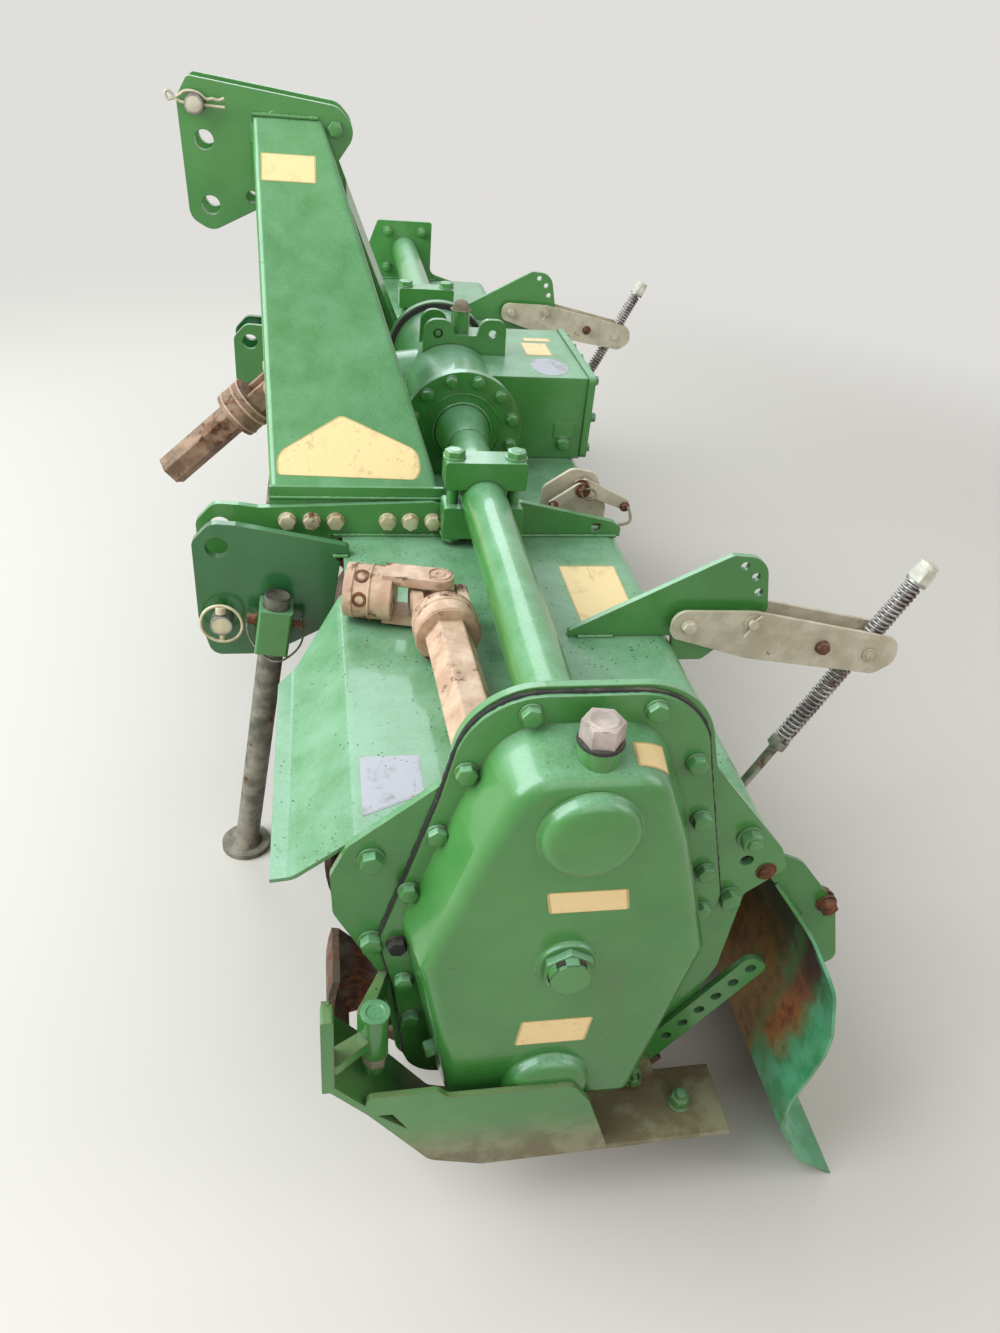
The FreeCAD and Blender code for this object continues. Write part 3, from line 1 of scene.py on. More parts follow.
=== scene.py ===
"""Dresses a packed rotavator: paint, rust and dust, bolts, springs, pins, blank labels and a plain studio.

Lengths are millimetres from the rotor's axis, the middle of the machine and the floor, until a
finished mesh is turned into the frame's metres.
"""

import json
import logging
import math
import random
from dataclasses import dataclass
from enum import Enum
from functools import cache

import bmesh
import bpy
from mathutils import Matrix, Vector
from mathutils.bvhtree import BVHTree


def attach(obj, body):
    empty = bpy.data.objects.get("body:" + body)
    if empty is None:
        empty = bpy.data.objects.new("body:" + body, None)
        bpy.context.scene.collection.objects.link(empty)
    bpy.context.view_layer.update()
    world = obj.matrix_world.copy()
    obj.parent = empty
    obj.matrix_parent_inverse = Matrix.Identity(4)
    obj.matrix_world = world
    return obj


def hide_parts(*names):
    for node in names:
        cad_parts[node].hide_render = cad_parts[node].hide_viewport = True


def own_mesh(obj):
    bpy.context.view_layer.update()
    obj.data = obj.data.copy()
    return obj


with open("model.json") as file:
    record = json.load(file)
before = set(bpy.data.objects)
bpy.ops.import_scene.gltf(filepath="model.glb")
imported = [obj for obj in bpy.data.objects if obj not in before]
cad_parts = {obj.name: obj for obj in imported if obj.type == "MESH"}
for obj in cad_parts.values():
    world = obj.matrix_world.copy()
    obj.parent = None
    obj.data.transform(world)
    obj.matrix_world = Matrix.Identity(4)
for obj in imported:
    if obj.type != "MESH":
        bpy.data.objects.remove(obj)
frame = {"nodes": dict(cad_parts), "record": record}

LOG = logging.getLogger("rotavator")
MM = 0.001
UP = Vector((0, 0, 1))
LEFT = Vector((0, 1, 0))
FORWARD = Vector((1, 0, 0))
SIDES = (1, -1)
JOINTS = {joint["name"]: joint for joint in frame["record"]["behaviour"]["joints"]}
AXLE_X, _, AXLE_Z = (metres / MM for metres in JOINTS["rotor_spin"]["pos_m"])
INTO_FRAME = Matrix.Scale(MM, 4) @ Matrix.Translation((AXLE_X, 0, 0))
RANDOM = random.Random(7)


class Slot(Enum):
    """The record's material slots."""

    GREEN = "green_paint"
    CASTING = "green_casting"
    ZINC = "galvanised_plate"
    STEEL = "spring_steel"
    SHAFT = "beige_shaft"
    TINE = "tine_steel"
    PIPE = "stand_pipe"


class Shade:
    """A shader socket that takes part in Python arithmetic."""

    def __init__(self, graph: "Graph", socket: bpy.types.NodeSocket) -> None:
        """Wraps a node's output socket."""
        self.graph = graph
        self.socket = socket

    def __add__(self, other: "Shade | float") -> "Shade":
        """Sum."""
        return self.graph.maths("ADD", self, other)

    def __sub__(self, other: "Shade | float") -> "Shade":
        """Difference."""
        return self.graph.maths("SUBTRACT", self, other)

    def __rsub__(self, other: float) -> "Shade":
        """A number less this value."""
        return self.graph.maths("SUBTRACT", other, self)

    def __mul__(self, other: "Shade | float") -> "Shade":
        """Product."""
        return self.graph.maths("MULTIPLY", self, other)

    __radd__ = __add__

    def above(self, low: float, high: float) -> "Shade":
        """A smooth step from 0 at low to 1 at high."""
        return self.graph.node("ShaderNodeMapRange", {"interpolation_type": "SMOOTHSTEP"},
                               {"Value": self, "From Min": low, "From Max": high})


class Graph:
    """The node tree of a material or of the sky, written as expressions."""

    def __init__(self, name: str, sky: bpy.types.World | None = None) -> None:
        """Starts an empty tree."""
        self.holder = sky or bpy.data.materials.new(name)
        self.holder.use_nodes = True
        self.tree = self.holder.node_tree
        self.tree.nodes.clear()
        self.place = self.node("ShaderNodeTexCoord", out="Object")

    def node(self, kind: str, settings: dict | None = None, sockets: dict | None = None,
             out: str | int = 0) -> Shade:
        """Makes any node.

        Args:
            kind: the node's type.
            settings: its properties.
            sockets: values or links of its inputs, by name or number.
            out: the output that is returned.

        Returns:
            The output as a Shade.
        """
        made = self.tree.nodes.new(kind)
        for key, value in (settings or {}).items():
            setattr(made, key, value)
        for key, value in (sockets or {}).items():
            if isinstance(value, Shade):
                self.tree.links.new(value.socket, made.inputs[key])
            elif made.inputs[key].type == "RGBA" and len(value) == 3:
                made.inputs[key].default_value = (*value, 1.0)
            else:
                made.inputs[key].default_value = value
        return Shade(self, made.outputs[out] if made.outputs else None)

    def maths(self, operation: str, *values: "Shade | float") -> Shade:
        """A Math node on two values."""
        return self.node("ShaderNodeMath", {"operation": operation}, dict(enumerate(values)))

    def most(self, first: Shade, *others: Shade) -> Shade:
        """The largest of some values."""
        for other in others:
            first = self.maths("MAXIMUM", first, other)
        return first

    def mix(self, share: "Shade | float", first: "Shade | tuple", second: "Shade | tuple") -> Shade:
        """The first colour turning into the second as share goes from 0 to 1."""
        return self.node("ShaderNodeMix", {"data_type": "RGBA"}, {0: share, 6: first, 7: second}, 2)

    def coats(self, colour: Shade, *coats: tuple) -> Shade:
        """A colour under further (share, colour) coats, the last one outermost."""
        for share, coat in coats:
            colour = self.mix(share, colour, coat)
        return colour

    def noise(self, scale: float, detail: float = 4.0, rough: float = 0.55,
              stretch: tuple = (1, 1, 1)) -> Shade:
        """Cloudy noise from 0 to 1 about 0.5; scale is in features a metre."""
        spot = self.node("ShaderNodeMapping", {}, {"Vector": self.place, "Scale": stretch})
        return self.node("ShaderNodeTexNoise", {"noise_dimensions": "3D"}, {
            "Vector": spot, "Scale": scale, "Detail": detail, "Roughness": rough})

    def dots(self, scale: float, low: float, high: float) -> Shade:
        """Scattered dots, scale of them a metre, fading in from low to high nearness to their middles."""
        cells = self.node("ShaderNodeTexVoronoi", {"feature": "F1"}, {"Vector": self.place, "Scale": scale})
        return (1.0 - cells).above(low, high)

    def seen(self) -> Shade:
        """1 for rays of the camera, off a mirror or through glass, 0 for rays that carry light."""
        return self.most(*(self.node("ShaderNodeLightPath", out=f"Is {kind} Ray")
                           for kind in ("Camera", "Glossy", "Transmission")))

    def axis(self, vector: Shade, letter: str) -> Shade:
        """A vector's part along X, Y or Z."""
        return self.node("ShaderNodeSeparateXYZ", {}, {0: vector}, letter)

    def facing(self, letter: str) -> Shade:
        """How far the surface faces along X, Y or Z, from -1 to 1."""
        return self.axis(self.node("ShaderNodeNewGeometry", out="Normal"), letter)

    def eased(self, radius: float) -> Shade:
        """The normal, with corners rounded by a radius in millimetres."""
        return self.node("ShaderNodeBevel", {"samples": 6}, {"Radius": radius * MM})

    def corners(self, radius: float) -> Shade:
        """1 on the surface's sharp corners, 0 on its flats; radius is in millimetres."""
        true = self.node("ShaderNodeNewGeometry", out="True Normal")
        match = self.node("ShaderNodeVectorMath", {"operation": "DOT_PRODUCT"},
                          {0: self.eased(radius), 1: true}, "Value")
        return (1.0 - match).above(0.03, 0.22)

    def chips(self, corner: Shade) -> Shade:
        """Ragged spots along corners."""
        return (corner * 0.75 + self.noise(60.0, 5.0, 0.7)).above(0.98, 1.12)

    def hollows(self, reach: float, blotch: Shade) -> Shade:
        """Blotches in creases and tight corners, 0 on open surfaces; reach is in millimetres."""
        sight = self.node("ShaderNodeAmbientOcclusion", {"samples": 4}, {"Distance": reach * MM}, "AO")
        return (1.0 - sight).above(0.22, 0.7) * (0.3 + blotch * 0.9)

    def bump(self, height: Shade, depth: float, radius: float = 0.0) -> Shade:
        """A normal from a height of about 0 to 1, depth millimetres deep, with rounded corners."""
        sockets = {"Height": height, "Distance": depth * MM, "Strength": 1.0}
        if radius:
            sockets["Normal"] = self.eased(radius)
        return self.node("ShaderNodeBump", {}, sockets)

    def surface(self, colour: Shade, rough: Shade, metal: Shade | float, normal: Shade,
                **fixed: float) -> bpy.types.Material:
        """Ends the material in a Principled BSDF.

        Args:
            colour: base colour.
            rough: roughness.
            metal: metallic share.
            normal: bumped normal.
            **fixed: further sockets with plain numbers, spaces written as underscores.

        Returns:
            The finished material.
        """
        sockets = {"Base Color": colour, "Roughness": rough, "Metallic": metal, "Normal": normal}
        sockets |= {key.replace("_", " "): value for key, value in fixed.items()}
        shader = self.node("ShaderNodeBsdfPrincipled", {}, sockets)
        self.node("ShaderNodeOutputMaterial", {}, {"Surface": shader})
        return self.holder


Colour = tuple[float, float, float]


def srgb(red: int, green: int, blue: int) -> Colour:
    """A colour of a picture's 0 to 255 as linear light."""
    return tuple((c / 255 / 12.92) if c <= 10 else ((c / 255 + 0.055) / 1.055) ** 2.4
                 for c in (red, green, blue))


DUST = srgb(168, 156, 128)
RUST = srgb(122, 72, 42)
DARK_RUST = srgb(64, 38, 26)
EARTH = srgb(112, 90, 66)
# Dark dirt for the specks on paint, and the painted shade in its creases.
GRIME_AND_SHADE = srgb(40, 46, 30)


@dataclass(frozen=True)
class Paint:
    """Gloss paint on steel, faded, with dust and a painted sky highlight where it faces up, painted shade in
    its creases, and rusty on its corners.
    """

    name: str
    fresh: Colour = srgb(54, 118, 48)
    faded: Colour = srgb(78, 138, 68)
    # Colour of the film on faces that look up: dust, and in the pale mint ones a painted highlight of the
    # sky.
    dust_and_sheen: Colour = srgb(154, 194, 168)
    film_share: float = 0.65
    rusty: float = 0.3
    grain: float = 0.25
    specks: float = 0.35
    round_off: float = 1.6
    soil: Colour = srgb(138, 128, 100)
    soil_top: float = 0.13

    def material(self) -> bpy.types.Material:
        """Builds the paint."""
        graph = Graph(self.name)
        cloud = graph.noise(2.6, 3.0)
        fine = graph.noise(420.0, 3.0)
        blotch = graph.noise(22.0, 6.0, 0.62)
        corner = graph.corners(2.2)
        pits = graph.dots(46.0, 0.86, 0.93) * graph.noise(7.0).above(0.54, 0.6)
        rust = graph.most(graph.chips(corner), pits) * min(1.0, self.rusty * 1.5)
        streak = graph.noise(9.0, 5.0, 0.6, (1.0, 1.0, 0.16)).above(0.6, 0.8)
        level = graph.facing("Z").above(0.3, 0.98)
        # The film on faces that look up is dust and a painted highlight of the sky.
        film = level * (0.35 + blotch * 0.5 + fine * 0.35).above(0.45, 1.15) * self.film_share
        speck = graph.dots(140.0, 0.8, 0.86) * graph.noise(24.0).above(0.44, 0.58) * level
        # Painted shade: the occlusion node finds creases and tight corners, and a dark colour is laid there.
        painted_shade = graph.hollows(13.0, blotch)
        low = 1.0 - graph.axis(graph.place, "Z").above(self.soil_top - 0.05, self.soil_top + 0.03)
        soil = low * (graph.noise(40.0, 6.0, 0.7) * 0.7 + fine * 0.5 + low * 0.16).above(0.42, 0.7)
        colour = graph.coats(
            graph.mix((cloud * 0.75 + blotch * 0.25).above(0.36, 0.66), self.fresh, self.faded),
            (corner * 0.4, self.faded),
            (rust, graph.mix(graph.noise(90.0).above(0.35, 0.6), DARK_RUST, RUST)),
            (streak * 0.14, EARTH), (film, self.dust_and_sheen), (speck * self.specks, GRIME_AND_SHADE), (painted_shade * 0.7, GRIME_AND_SHADE),
            (soil * 0.85, graph.mix(blotch.above(0.4, 0.6), EARTH, self.soil)))
        rough = 0.22 + cloud * 0.12 + rust * 0.4 + film * 0.4 + soil * 0.5 + painted_shade * 0.3
        height = fine * self.grain + blotch * 0.25 - rust * 0.8 + speck * self.specks + soil * 0.8
        return graph.surface(colour, rough, 0.0, graph.bump(height, 0.3, self.round_off),
                             Coat_Weight=0.5, Coat_Roughness=0.1)


@dataclass(frozen=True)
class BoardPaint(Paint):
    """The rear board's paint: rust where the soil rubs its wings and its inner side."""

    wing_start: float = 0.985

    def material(self) -> bpy.types.Material:
        """Builds the paint with its patches of rust and bare green."""
        graph = Graph(self.name)
        sideways = graph.maths("ABSOLUTE", graph.axis(graph.place, "Y"))
        height = graph.axis(graph.place, "Z")
        wing = sideways.above(self.wing_start - 0.01, self.wing_start + 0.02)
        cloud = graph.noise(3.0, 4.0)
        blotch = graph.noise(20.0, 6.0, 0.65)
        fine = graph.noise(380.0, 3.0)
        rim = (sideways + blotch * 0.04).above(1.03, 1.06)
        rubbed = graph.most(1.0 - height.above(0.1, 0.2), rim)
        forward = graph.facing("X").above(0.2, 0.6)
        inward = 1.0 - (sideways + blotch * 0.07).above(1.05, 1.09)
        band = height.above(0.12, 0.24) + blotch * 0.9 + cloud * 0.4
        under = (1.0 - wing) * forward * (blotch + cloud * 0.4).above(0.5, 0.75)
        rust = graph.most(wing * forward * inward * band.above(0.95, 1.2), under * 0.8,
                          graph.chips(graph.corners(2.4)) * 0.8)
        tint = graph.mix(graph.noise(70.0, 5.0).above(0.35, 0.6), srgb(120, 66, 36), srgb(160, 96, 50))
        soil = graph.noise(14.0, 5.0, 0.6).above(0.5, 0.7) * (1.0 - height.above(0.05, 0.3))
        colour = graph.coats(
            graph.mix((cloud * 0.6 + blotch * 0.4).above(0.36, 0.66), self.fresh, self.faded),
            (wing * rubbed * 0.85, graph.mix(blotch.above(0.4, 0.6), srgb(52, 136, 88), srgb(92, 168, 126))),
            (rust, graph.mix((height + blotch * 0.08).above(0.26, 0.34), tint, srgb(58, 36, 28))),
            (soil * 0.45, EARTH))
        relief = fine * 0.4 + blotch * 0.5 + rust * 0.6
        return graph.surface(colour, 0.3 + rust * 0.45 + soil * 0.3, 0.0,
                             graph.bump(relief, 0.35, self.round_off), Coat_Weight=0.2)


@dataclass(frozen=True)
class Metal:
    """Bare or plated steel with tarnish, rust and dust."""

    name: str
    bright: Colour
    dull: Colour
    rusty: float = 0.3
    metallic: float = 0.85
    rough: float = 0.38
    film_share: float = 0.25
    round_off: float = 0.8

    def material(self) -> bpy.types.Material:
        """Builds the metal."""
        graph = Graph(self.name)
        blotch = graph.noise(34.0, 6.0, 0.6)
        fine = graph.noise(500.0, 3.0)
        patch = (graph.noise(26.0, 6.0, 0.7) + graph.corners(1.5) * 0.1).above(
            0.7 - self.rusty * 0.35, 0.78 - self.rusty * 0.3)
        film = graph.facing("Z").above(0.3, 1.0) * blotch.above(0.35, 0.7) * self.film_share
        colour = graph.coats(
            graph.mix(blotch.above(0.35, 0.65), self.bright, self.dull),
            (patch, graph.mix(graph.noise(120.0).above(0.35, 0.65), RUST, DARK_RUST)),
            (film, DUST), (graph.hollows(9.0, blotch) * 0.6, DARK_RUST))
        metal = (1.0 - graph.most(patch, film)) * self.metallic
        rough = self.rough + blotch * 0.2 + patch * 0.35 + film * 0.3
        return graph.surface(colour, rough, metal, graph.bump(fine * 0.4 + patch * 0.6, 0.25, self.round_off))


@dataclass(frozen=True)
class Label:
    """A blank printed sticker, scuffed and a little stained."""

    name: str
    ground: Colour = srgb(240, 208, 150)
    stain: Colour = srgb(176, 150, 104)
    scuffed: float = 0.5

    def material(self) -> bpy.types.Material:
        """Builds the sticker."""
        graph = Graph(self.name)
        stains = graph.noise(38.0, 6.0, 0.65).above(0.52, 0.75)
        flecks = graph.dots(160.0, 0.8, 0.88) * graph.noise(14.0).above(0.5, 0.6)
        scratch = graph.noise(60.0, 6.0, 0.7, (1.0, 0.25, 1.0)).above(0.58, 0.66)
        colour = graph.coats(
            graph.mix(stains * (0.2 + self.scuffed * 0.5), self.ground, self.stain),
            (scratch * self.scuffed * 0.6, srgb(120, 112, 100)), (flecks * self.scuffed, EARTH))
        return graph.surface(colour, 0.42 + stains * 0.2, 0.0, graph.bump(graph.noise(300.0), 0.1))


Finish = Paint | Metal | Label

# The pale mint film on faces that look up, strongest on the casing and the deck, is dust and a painted
# highlight of the sky.
PAINT = Paint("green_gloss")
CAST_PAINT = Paint("green_cast", film_share=0.85, rusty=0.3, grain=0.7, round_off=3.0, specks=0.15)
DECK_PAINT = Paint("green_deck", faded=srgb(92, 146, 90), dust_and_sheen=srgb(146, 182, 156), film_share=0.85, rusty=0.4,
                   specks=0.9)
EAR_PAINT = Paint("green_chipped", fresh=srgb(20, 78, 36), faded=srgb(46, 108, 54), rusty=0.9, film_share=0.2)
OLD_PAINT = Paint("green_worn", dust_and_sheen=srgb(138, 128, 100), film_share=0.8, rusty=0.6, grain=0.4, specks=0.9,
                  soil_top=0.175)
BOARD_PAINT = BoardPaint("green_board")
ZINC = Metal("zinc_plate", srgb(206, 194, 172), srgb(184, 172, 148), rusty=0.2, metallic=0.3, rough=0.45)
YELLOW_ZINC = Metal("yellow_zinc", srgb(216, 204, 170), srgb(180, 164, 128), rusty=0.35, metallic=0.35)
STEEL = Metal("dull_steel", srgb(176, 172, 164), srgb(128, 122, 112), rusty=0.35)
DARK_STEEL = Metal("dark_steel", srgb(44, 42, 38), srgb(28, 26, 24), rusty=0.2, metallic=0.2, rough=0.6)
EARTHY_STEEL = Metal("earthy_steel", srgb(150, 140, 118), srgb(110, 96, 76), rusty=0.4, metallic=0.3,
                     rough=0.7)
RUSTY_STEEL = Metal("rusted_steel", srgb(140, 96, 66), srgb(92, 58, 40), rusty=0.8, metallic=0.2, rough=0.7)
SPRING = Metal("spring_wire", srgb(176, 168, 166), srgb(112, 102, 104), rusty=0.4, metallic=0.6, rough=0.35)
DULL_PLUG = Metal("dull_plug", srgb(196, 178, 168), srgb(160, 144, 136), rusty=0.1, metallic=0.4, rough=0.5)
SHAFT = Metal("beige_shaft_paint", srgb(210, 178, 150), srgb(186, 144, 118), rusty=0.42, metallic=0.0,
              rough=0.42, round_off=3.5)
WORN_SHAFT = Metal("worn_shaft_paint", srgb(158, 124, 98), srgb(112, 84, 64), rusty=0.5, metallic=0.0,
                   rough=0.5, round_off=3.5)
PIPE = Metal("stand_pipe_paint", srgb(146, 138, 122), srgb(92, 90, 78), rusty=0.35, metallic=0.3, rough=0.5)
TINE = Metal("tine_steel_worn", srgb(110, 96, 84), srgb(70, 50, 40), rusty=0.7, metallic=0.4, rough=0.6)
# Black for sealant and seams, and for the painted shade in the stand pipes' open ends.
BLACK = Metal("black_sealant_and_painted_shade", srgb(30, 30, 28), srgb(46, 44, 40), rusty=0.0, metallic=0.0, rough=0.7)
NYLON = Metal("white_nylon", srgb(214, 208, 192), srgb(180, 170, 150), rusty=0.0, metallic=0.0, rough=0.5)
CREAM = Label("cream_label")
LABEL_EDGE = Label("label_edge", srgb(196, 170, 112), srgb(140, 118, 76))
WHITE = Label("white_label", srgb(175, 172, 177), srgb(112, 102, 92), 1.0)

SLOT_FINISHES = {Slot.GREEN: PAINT, Slot.CASTING: CAST_PAINT, Slot.ZINC: ZINC, Slot.STEEL: STEEL,
                 Slot.SHAFT: SHAFT, Slot.TINE: TINE, Slot.PIPE: PIPE}
NODE_FINISHES = {"hitch_plate_left": EAR_PAINT, "hitch_plate_right": EAR_PAINT, "hood": DECK_PAINT,
                 "skid_left": OLD_PAINT, "skid_right": OLD_PAINT, "rear_board": BOARD_PAINT,
                 "hinge_rod": RUSTY_STEEL, "hanging_shaft_half": WORN_SHAFT}


@cache
def material_of(finish: Finish) -> bpy.types.Material:
    """A finish's material, built when it is first needed."""
    return finish.material()


def placed(name: str, data: bpy.types.ID) -> bpy.types.Object:
    """A new object in the scene."""
    made = bpy.data.objects.new(name, data)
    bpy.context.scene.collection.objects.link(made)
    return made


@dataclass(frozen=True)
class Grip:
    """A frame to build in: a point, the way out of the surface and one way along it."""

    at: Vector
    out: Vector
    along: Vector

    def matrix(self) -> Matrix:
        """Local X along, local Z out."""
        z = self.out.normalized()
        x = (self.along - z * self.along.dot(z)).normalized()
        return Matrix.Translation(self.at) @ Matrix((x, z.cross(x), z)).transposed().to_4x4()

    def raised(self, height: float) -> "Grip":
        """The same frame, moved along its way out."""
        return Grip(self.at + self.out.normalized() * height, self.out, self.along)


def grip(x: float, y: float, z: float, out: Vector, along: Vector | None = None) -> Grip:
    """A Grip from coordinates; along is chosen if it isn't given."""
    if along is None:
        along = FORWARD if abs(out.normalized().dot(FORWARD)) < 0.9 else UP
    return Grip(Vector((x, y, z)), out, along)


def rounded(outline: list[tuple], steps: int = 5) -> list[tuple[float, float]]:
    """A closed outline of (x, y) or (x, y, radius) corners with arcs of short lines at its corners."""
    path = []
    for index, corner in enumerate(outline):
        at = Vector(corner[:2])
        radius = corner[2] if len(corner) > 2 else 0.0
        if not radius:
            path.append(tuple(at))
            continue
        back = (Vector(outline[index - 1][:2]) - at).normalized()
        ahead = (Vector(outline[(index + 1) % len(outline)][:2]) - at).normalized()
        half = back.angle(ahead) / 2
        centre = at + (back + ahead).normalized() * (radius / math.sin(half))
        first = at + back * (radius / math.tan(half)) - centre
        last = at + ahead * (radius / math.tan(half)) - centre
        for step in range(steps + 1):
            way = first.slerp(last, step / steps, first).normalized() * radius
            path.append(tuple(centre + way))
    return path


def round_point(radius: float, turn: float) -> tuple[float, float]:
    """A point on a circle about the origin; turn is a share of its round."""
    return radius * math.cos(turn * math.tau), radius * math.sin(turn * math.tau)


def ring_part(inner: float, outer: float, start: float, stop: float) -> list[tuple[float, float]]:
    """Outline of a part of a ring, from one share of its round to another."""
    spots = ((outer, start), (outer, (start + stop) / 2), (outer, stop), (inner, stop), (inner, start))
    return [round_point(*spot) for spot in spots]


def node_surface(name: str) -> BVHTree:
    """A CAD node's skin, to lay things on."""
    mesh = frame["nodes"][name].data
    return BVHTree.FromPolygons([v.co for v in mesh.vertices], [p.vertices for p in mesh.polygons])


@dataclass
class Form:
    """A mesh in the making, in the machine's millimetres; leaving its with block makes it a piece.

    Attributes:
        name: the piece's name.
        finish: its finish.
        slot: the record's slot that it takes its finish from; not used.
        body: the CAD body that it moves with.
        sharp: least angle of a sharp edge, in degrees.
    """

    name: str
    finish: Finish
    slot: Slot
    body: str = "root"
    sharp: float = 35.0

    def __post_init__(self) -> None:
        """Starts an empty mesh."""
        self.bm = bmesh.new()

    def __enter__(self) -> "Form":
        """Hands out the form to build in."""
        return self

    def __exit__(self, *_: object) -> None:
        """Makes it a piece."""
        self.close()

    def _place(self, verts: list, matrix: Matrix) -> None:
        """Moves new vertices from local to machine coordinates."""
        bmesh.ops.transform(self.bm, matrix=matrix, verts=verts)

    def drum(self, hold: Grip, radius: float, height: float, sides: int = 24, bevel: float = 0.0,
             turn: float = 0.0) -> None:
        """A cylinder or prism standing out of the grip's point.

        Args:
            hold: where it stands.
            radius: its radius, over the corners.
            height: its height.
            sides: its sides.
            bevel: width of the bevel round its top.
            turn: turn about its own axis, in radians.
        """
        verts = bmesh.ops.create_cone(self.bm, cap_ends=True, segments=sides, radius1=radius,
                                      radius2=radius, depth=height)["verts"]
        self._place(verts, Matrix.Translation((0, 0, height / 2)) @ Matrix.Rotation(turn, 4, "Z"))
        if bevel:
            rim = {edge for vert in verts for edge in vert.link_edges
                   if all(v.co.z > height - 1e-4 for v in edge.verts)}
            done = bmesh.ops.bevel(self.bm, geom=list(rim), offset=bevel, segments=2, profile=0.5,
                                   affect="EDGES", material=-1)
            verts = list({*done["verts"], *(v for v in verts if v.is_valid)})
        self._place(verts, hold.matrix())

    def slab(self, hold: Grip, outline: list[tuple[float, float]], height: float) -> None:
        """A flat plate of any outline in the grip's plane."""
        face = self.bm.faces.new([self.bm.verts.new((x, y, 0)) for x, y in outline])
        face.normal_update()
        if face.normal.z > 0:
            face.normal_flip()
        raised = bmesh.ops.extrude_face_region(self.bm, geom=[face], use_keep_orig=True)
        new_verts = [item for item in raised["geom"] if isinstance(item, bmesh.types.BMVert)]
        bmesh.ops.translate(self.bm, vec=(0, 0, height), verts=new_verts)
        self._place(list(face.verts) + new_verts, hold.matrix())

    def _section(self, radius: float, wire: float, sides: int) -> tuple[list, list]:
        """A wire's round section off the grip's axis, as vertices and edges."""
        verts = bmesh.ops.create_circle(self.bm, cap_ends=False, segments=sides, radius=wire)["verts"]
        self._place(verts, Matrix.Translation((radius, 0, 0)) @ Matrix.Rotation(math.pi / 2, 4, "X"))
        return verts, list({edge for vert in verts for edge in vert.link_edges})

    def _spin(self, geometry: list, steps: int, turns: float = 1.0, rise: float = 0.0) -> list:
        """Turns geometry about the grip's axis, rising at each step.

        Returns:
            What stands at the end of the last turn.
        """
        return bmesh.ops.spin(self.bm, geom=geometry, cent=(0, 0, 0), axis=(0, 0, 1), dvec=(0, 0, rise),
                              angle=math.tau * turns, steps=steps, use_merge=not rise)["geom_last"]

    def coil(self, hold: Grip, radius: float, wire: float, length: float, turns: float,
             steps: int = 18, sides: int = 8) -> None:
        """A helical spring along the grip's out way.

        Args:
            hold: its foot, on the axis.
            radius: radius of its centreline.
            wire: its wire's radius.
            length: its length between wire centres.
            turns: how many turns it has.
            steps: steps in each turn.
            sides: sides of its wire.
        """
        verts, ring = self._section(radius, wire, sides)
        count = round(turns * steps)
        last = self._spin(ring + verts, count, turns, length / count)
        for loop in (ring, [item for item in last if isinstance(item, bmesh.types.BMEdge)]):
            bmesh.ops.holes_fill(self.bm, edges=loop)
        self._place(self._linked(verts[0]), hold.matrix())

    def hoop(self, hold: Grip, radius: float, wire: float, sides: int, steps: int) -> None:
        """A closed wire ring or a bead round the grip's out way."""
        verts, ring = self._section(radius, wire, sides)
        self._spin(ring + verts, steps)
        self._place(self._linked(verts[0]), hold.matrix())

    def lathe(self, hold: Grip, profile: tuple, steps: int) -> None:
        """A turned shape round the grip's out way.

        Args:
            hold: its foot, on the axis.
            profile: (radius, height) points from the axis outwards or round a section.
            steps: its sides.
        """
        verts = [self.bm.verts.new((radius, 0, height)) for radius, height in profile]
        edges = [self.bm.edges.new(pair) for pair in zip(verts, verts[1:])]
        self._spin(edges + verts, steps)
        self._place(self._linked(verts[-1]), hold.matrix())

    def ring(self, hold: Grip, inner: float, outer: float, wall: float, crown: float = 0.1) -> None:
        """A flat ring, higher by its crown at the inner edge."""
        self.lathe(hold, ((inner, 0), (outer, 0), (outer, wall), (inner, wall + crown)), 24)

    def screw(self, hold: Grip, across: float, height: float, washer: float = 0.0, stud: float = 0.0,
              over: float = 0.0, turn: float | None = None) -> None:
        """A hexagon head or nut.

        Args:
            hold: where it sits.
            across: width across flats.
            height: the height of head and washer.
            washer: the washer's radius, 0 for none.
            stud: radius of a stud's end, 0 for none.
            over: the stud's height over the head.
            turn: turn about its own axis in radians, by chance if not given.
        """
        turn = RANDOM.uniform(0, 1) if turn is None else turn
        low = 2.0 if washer else 0.0
        if washer:
            self.drum(hold, washer, 2.2, bevel=0.4)
        seat = hold.raised(low)
        self.drum(seat, across / math.sqrt(3), height - low, 6, bevel=across * 0.07, turn=turn)
        if stud:
            self.drum(seat, stud, height - low + over, 16, bevel=0.8)

    def castle(self, hold: Grip, across: float, height: float, bore: float,
               slots: "Form | None" = None) -> None:
        """A castle nut: a hexagon with six blocks round its bore, and in another form a dark wall in each
        slot between them, painted shade of the slot's inside.
        """
        self.drum(hold, across / math.sqrt(3), height * 0.52, 6, bevel=0.8)
        rim = across * 0.49
        for index in range(6):
            self.slab(hold, ring_part(bore, rim, (index + 0.21) / 6, (index + 0.79) / 6), height)
            if slots:
                # A dark wall in each slot is painted shade of the slot's inside.
                gap = ring_part(bore, rim - 0.9, (index - 0.2) / 6, (index + 0.2) / 6)
                slots.slab(hold, gap, height * 0.8)

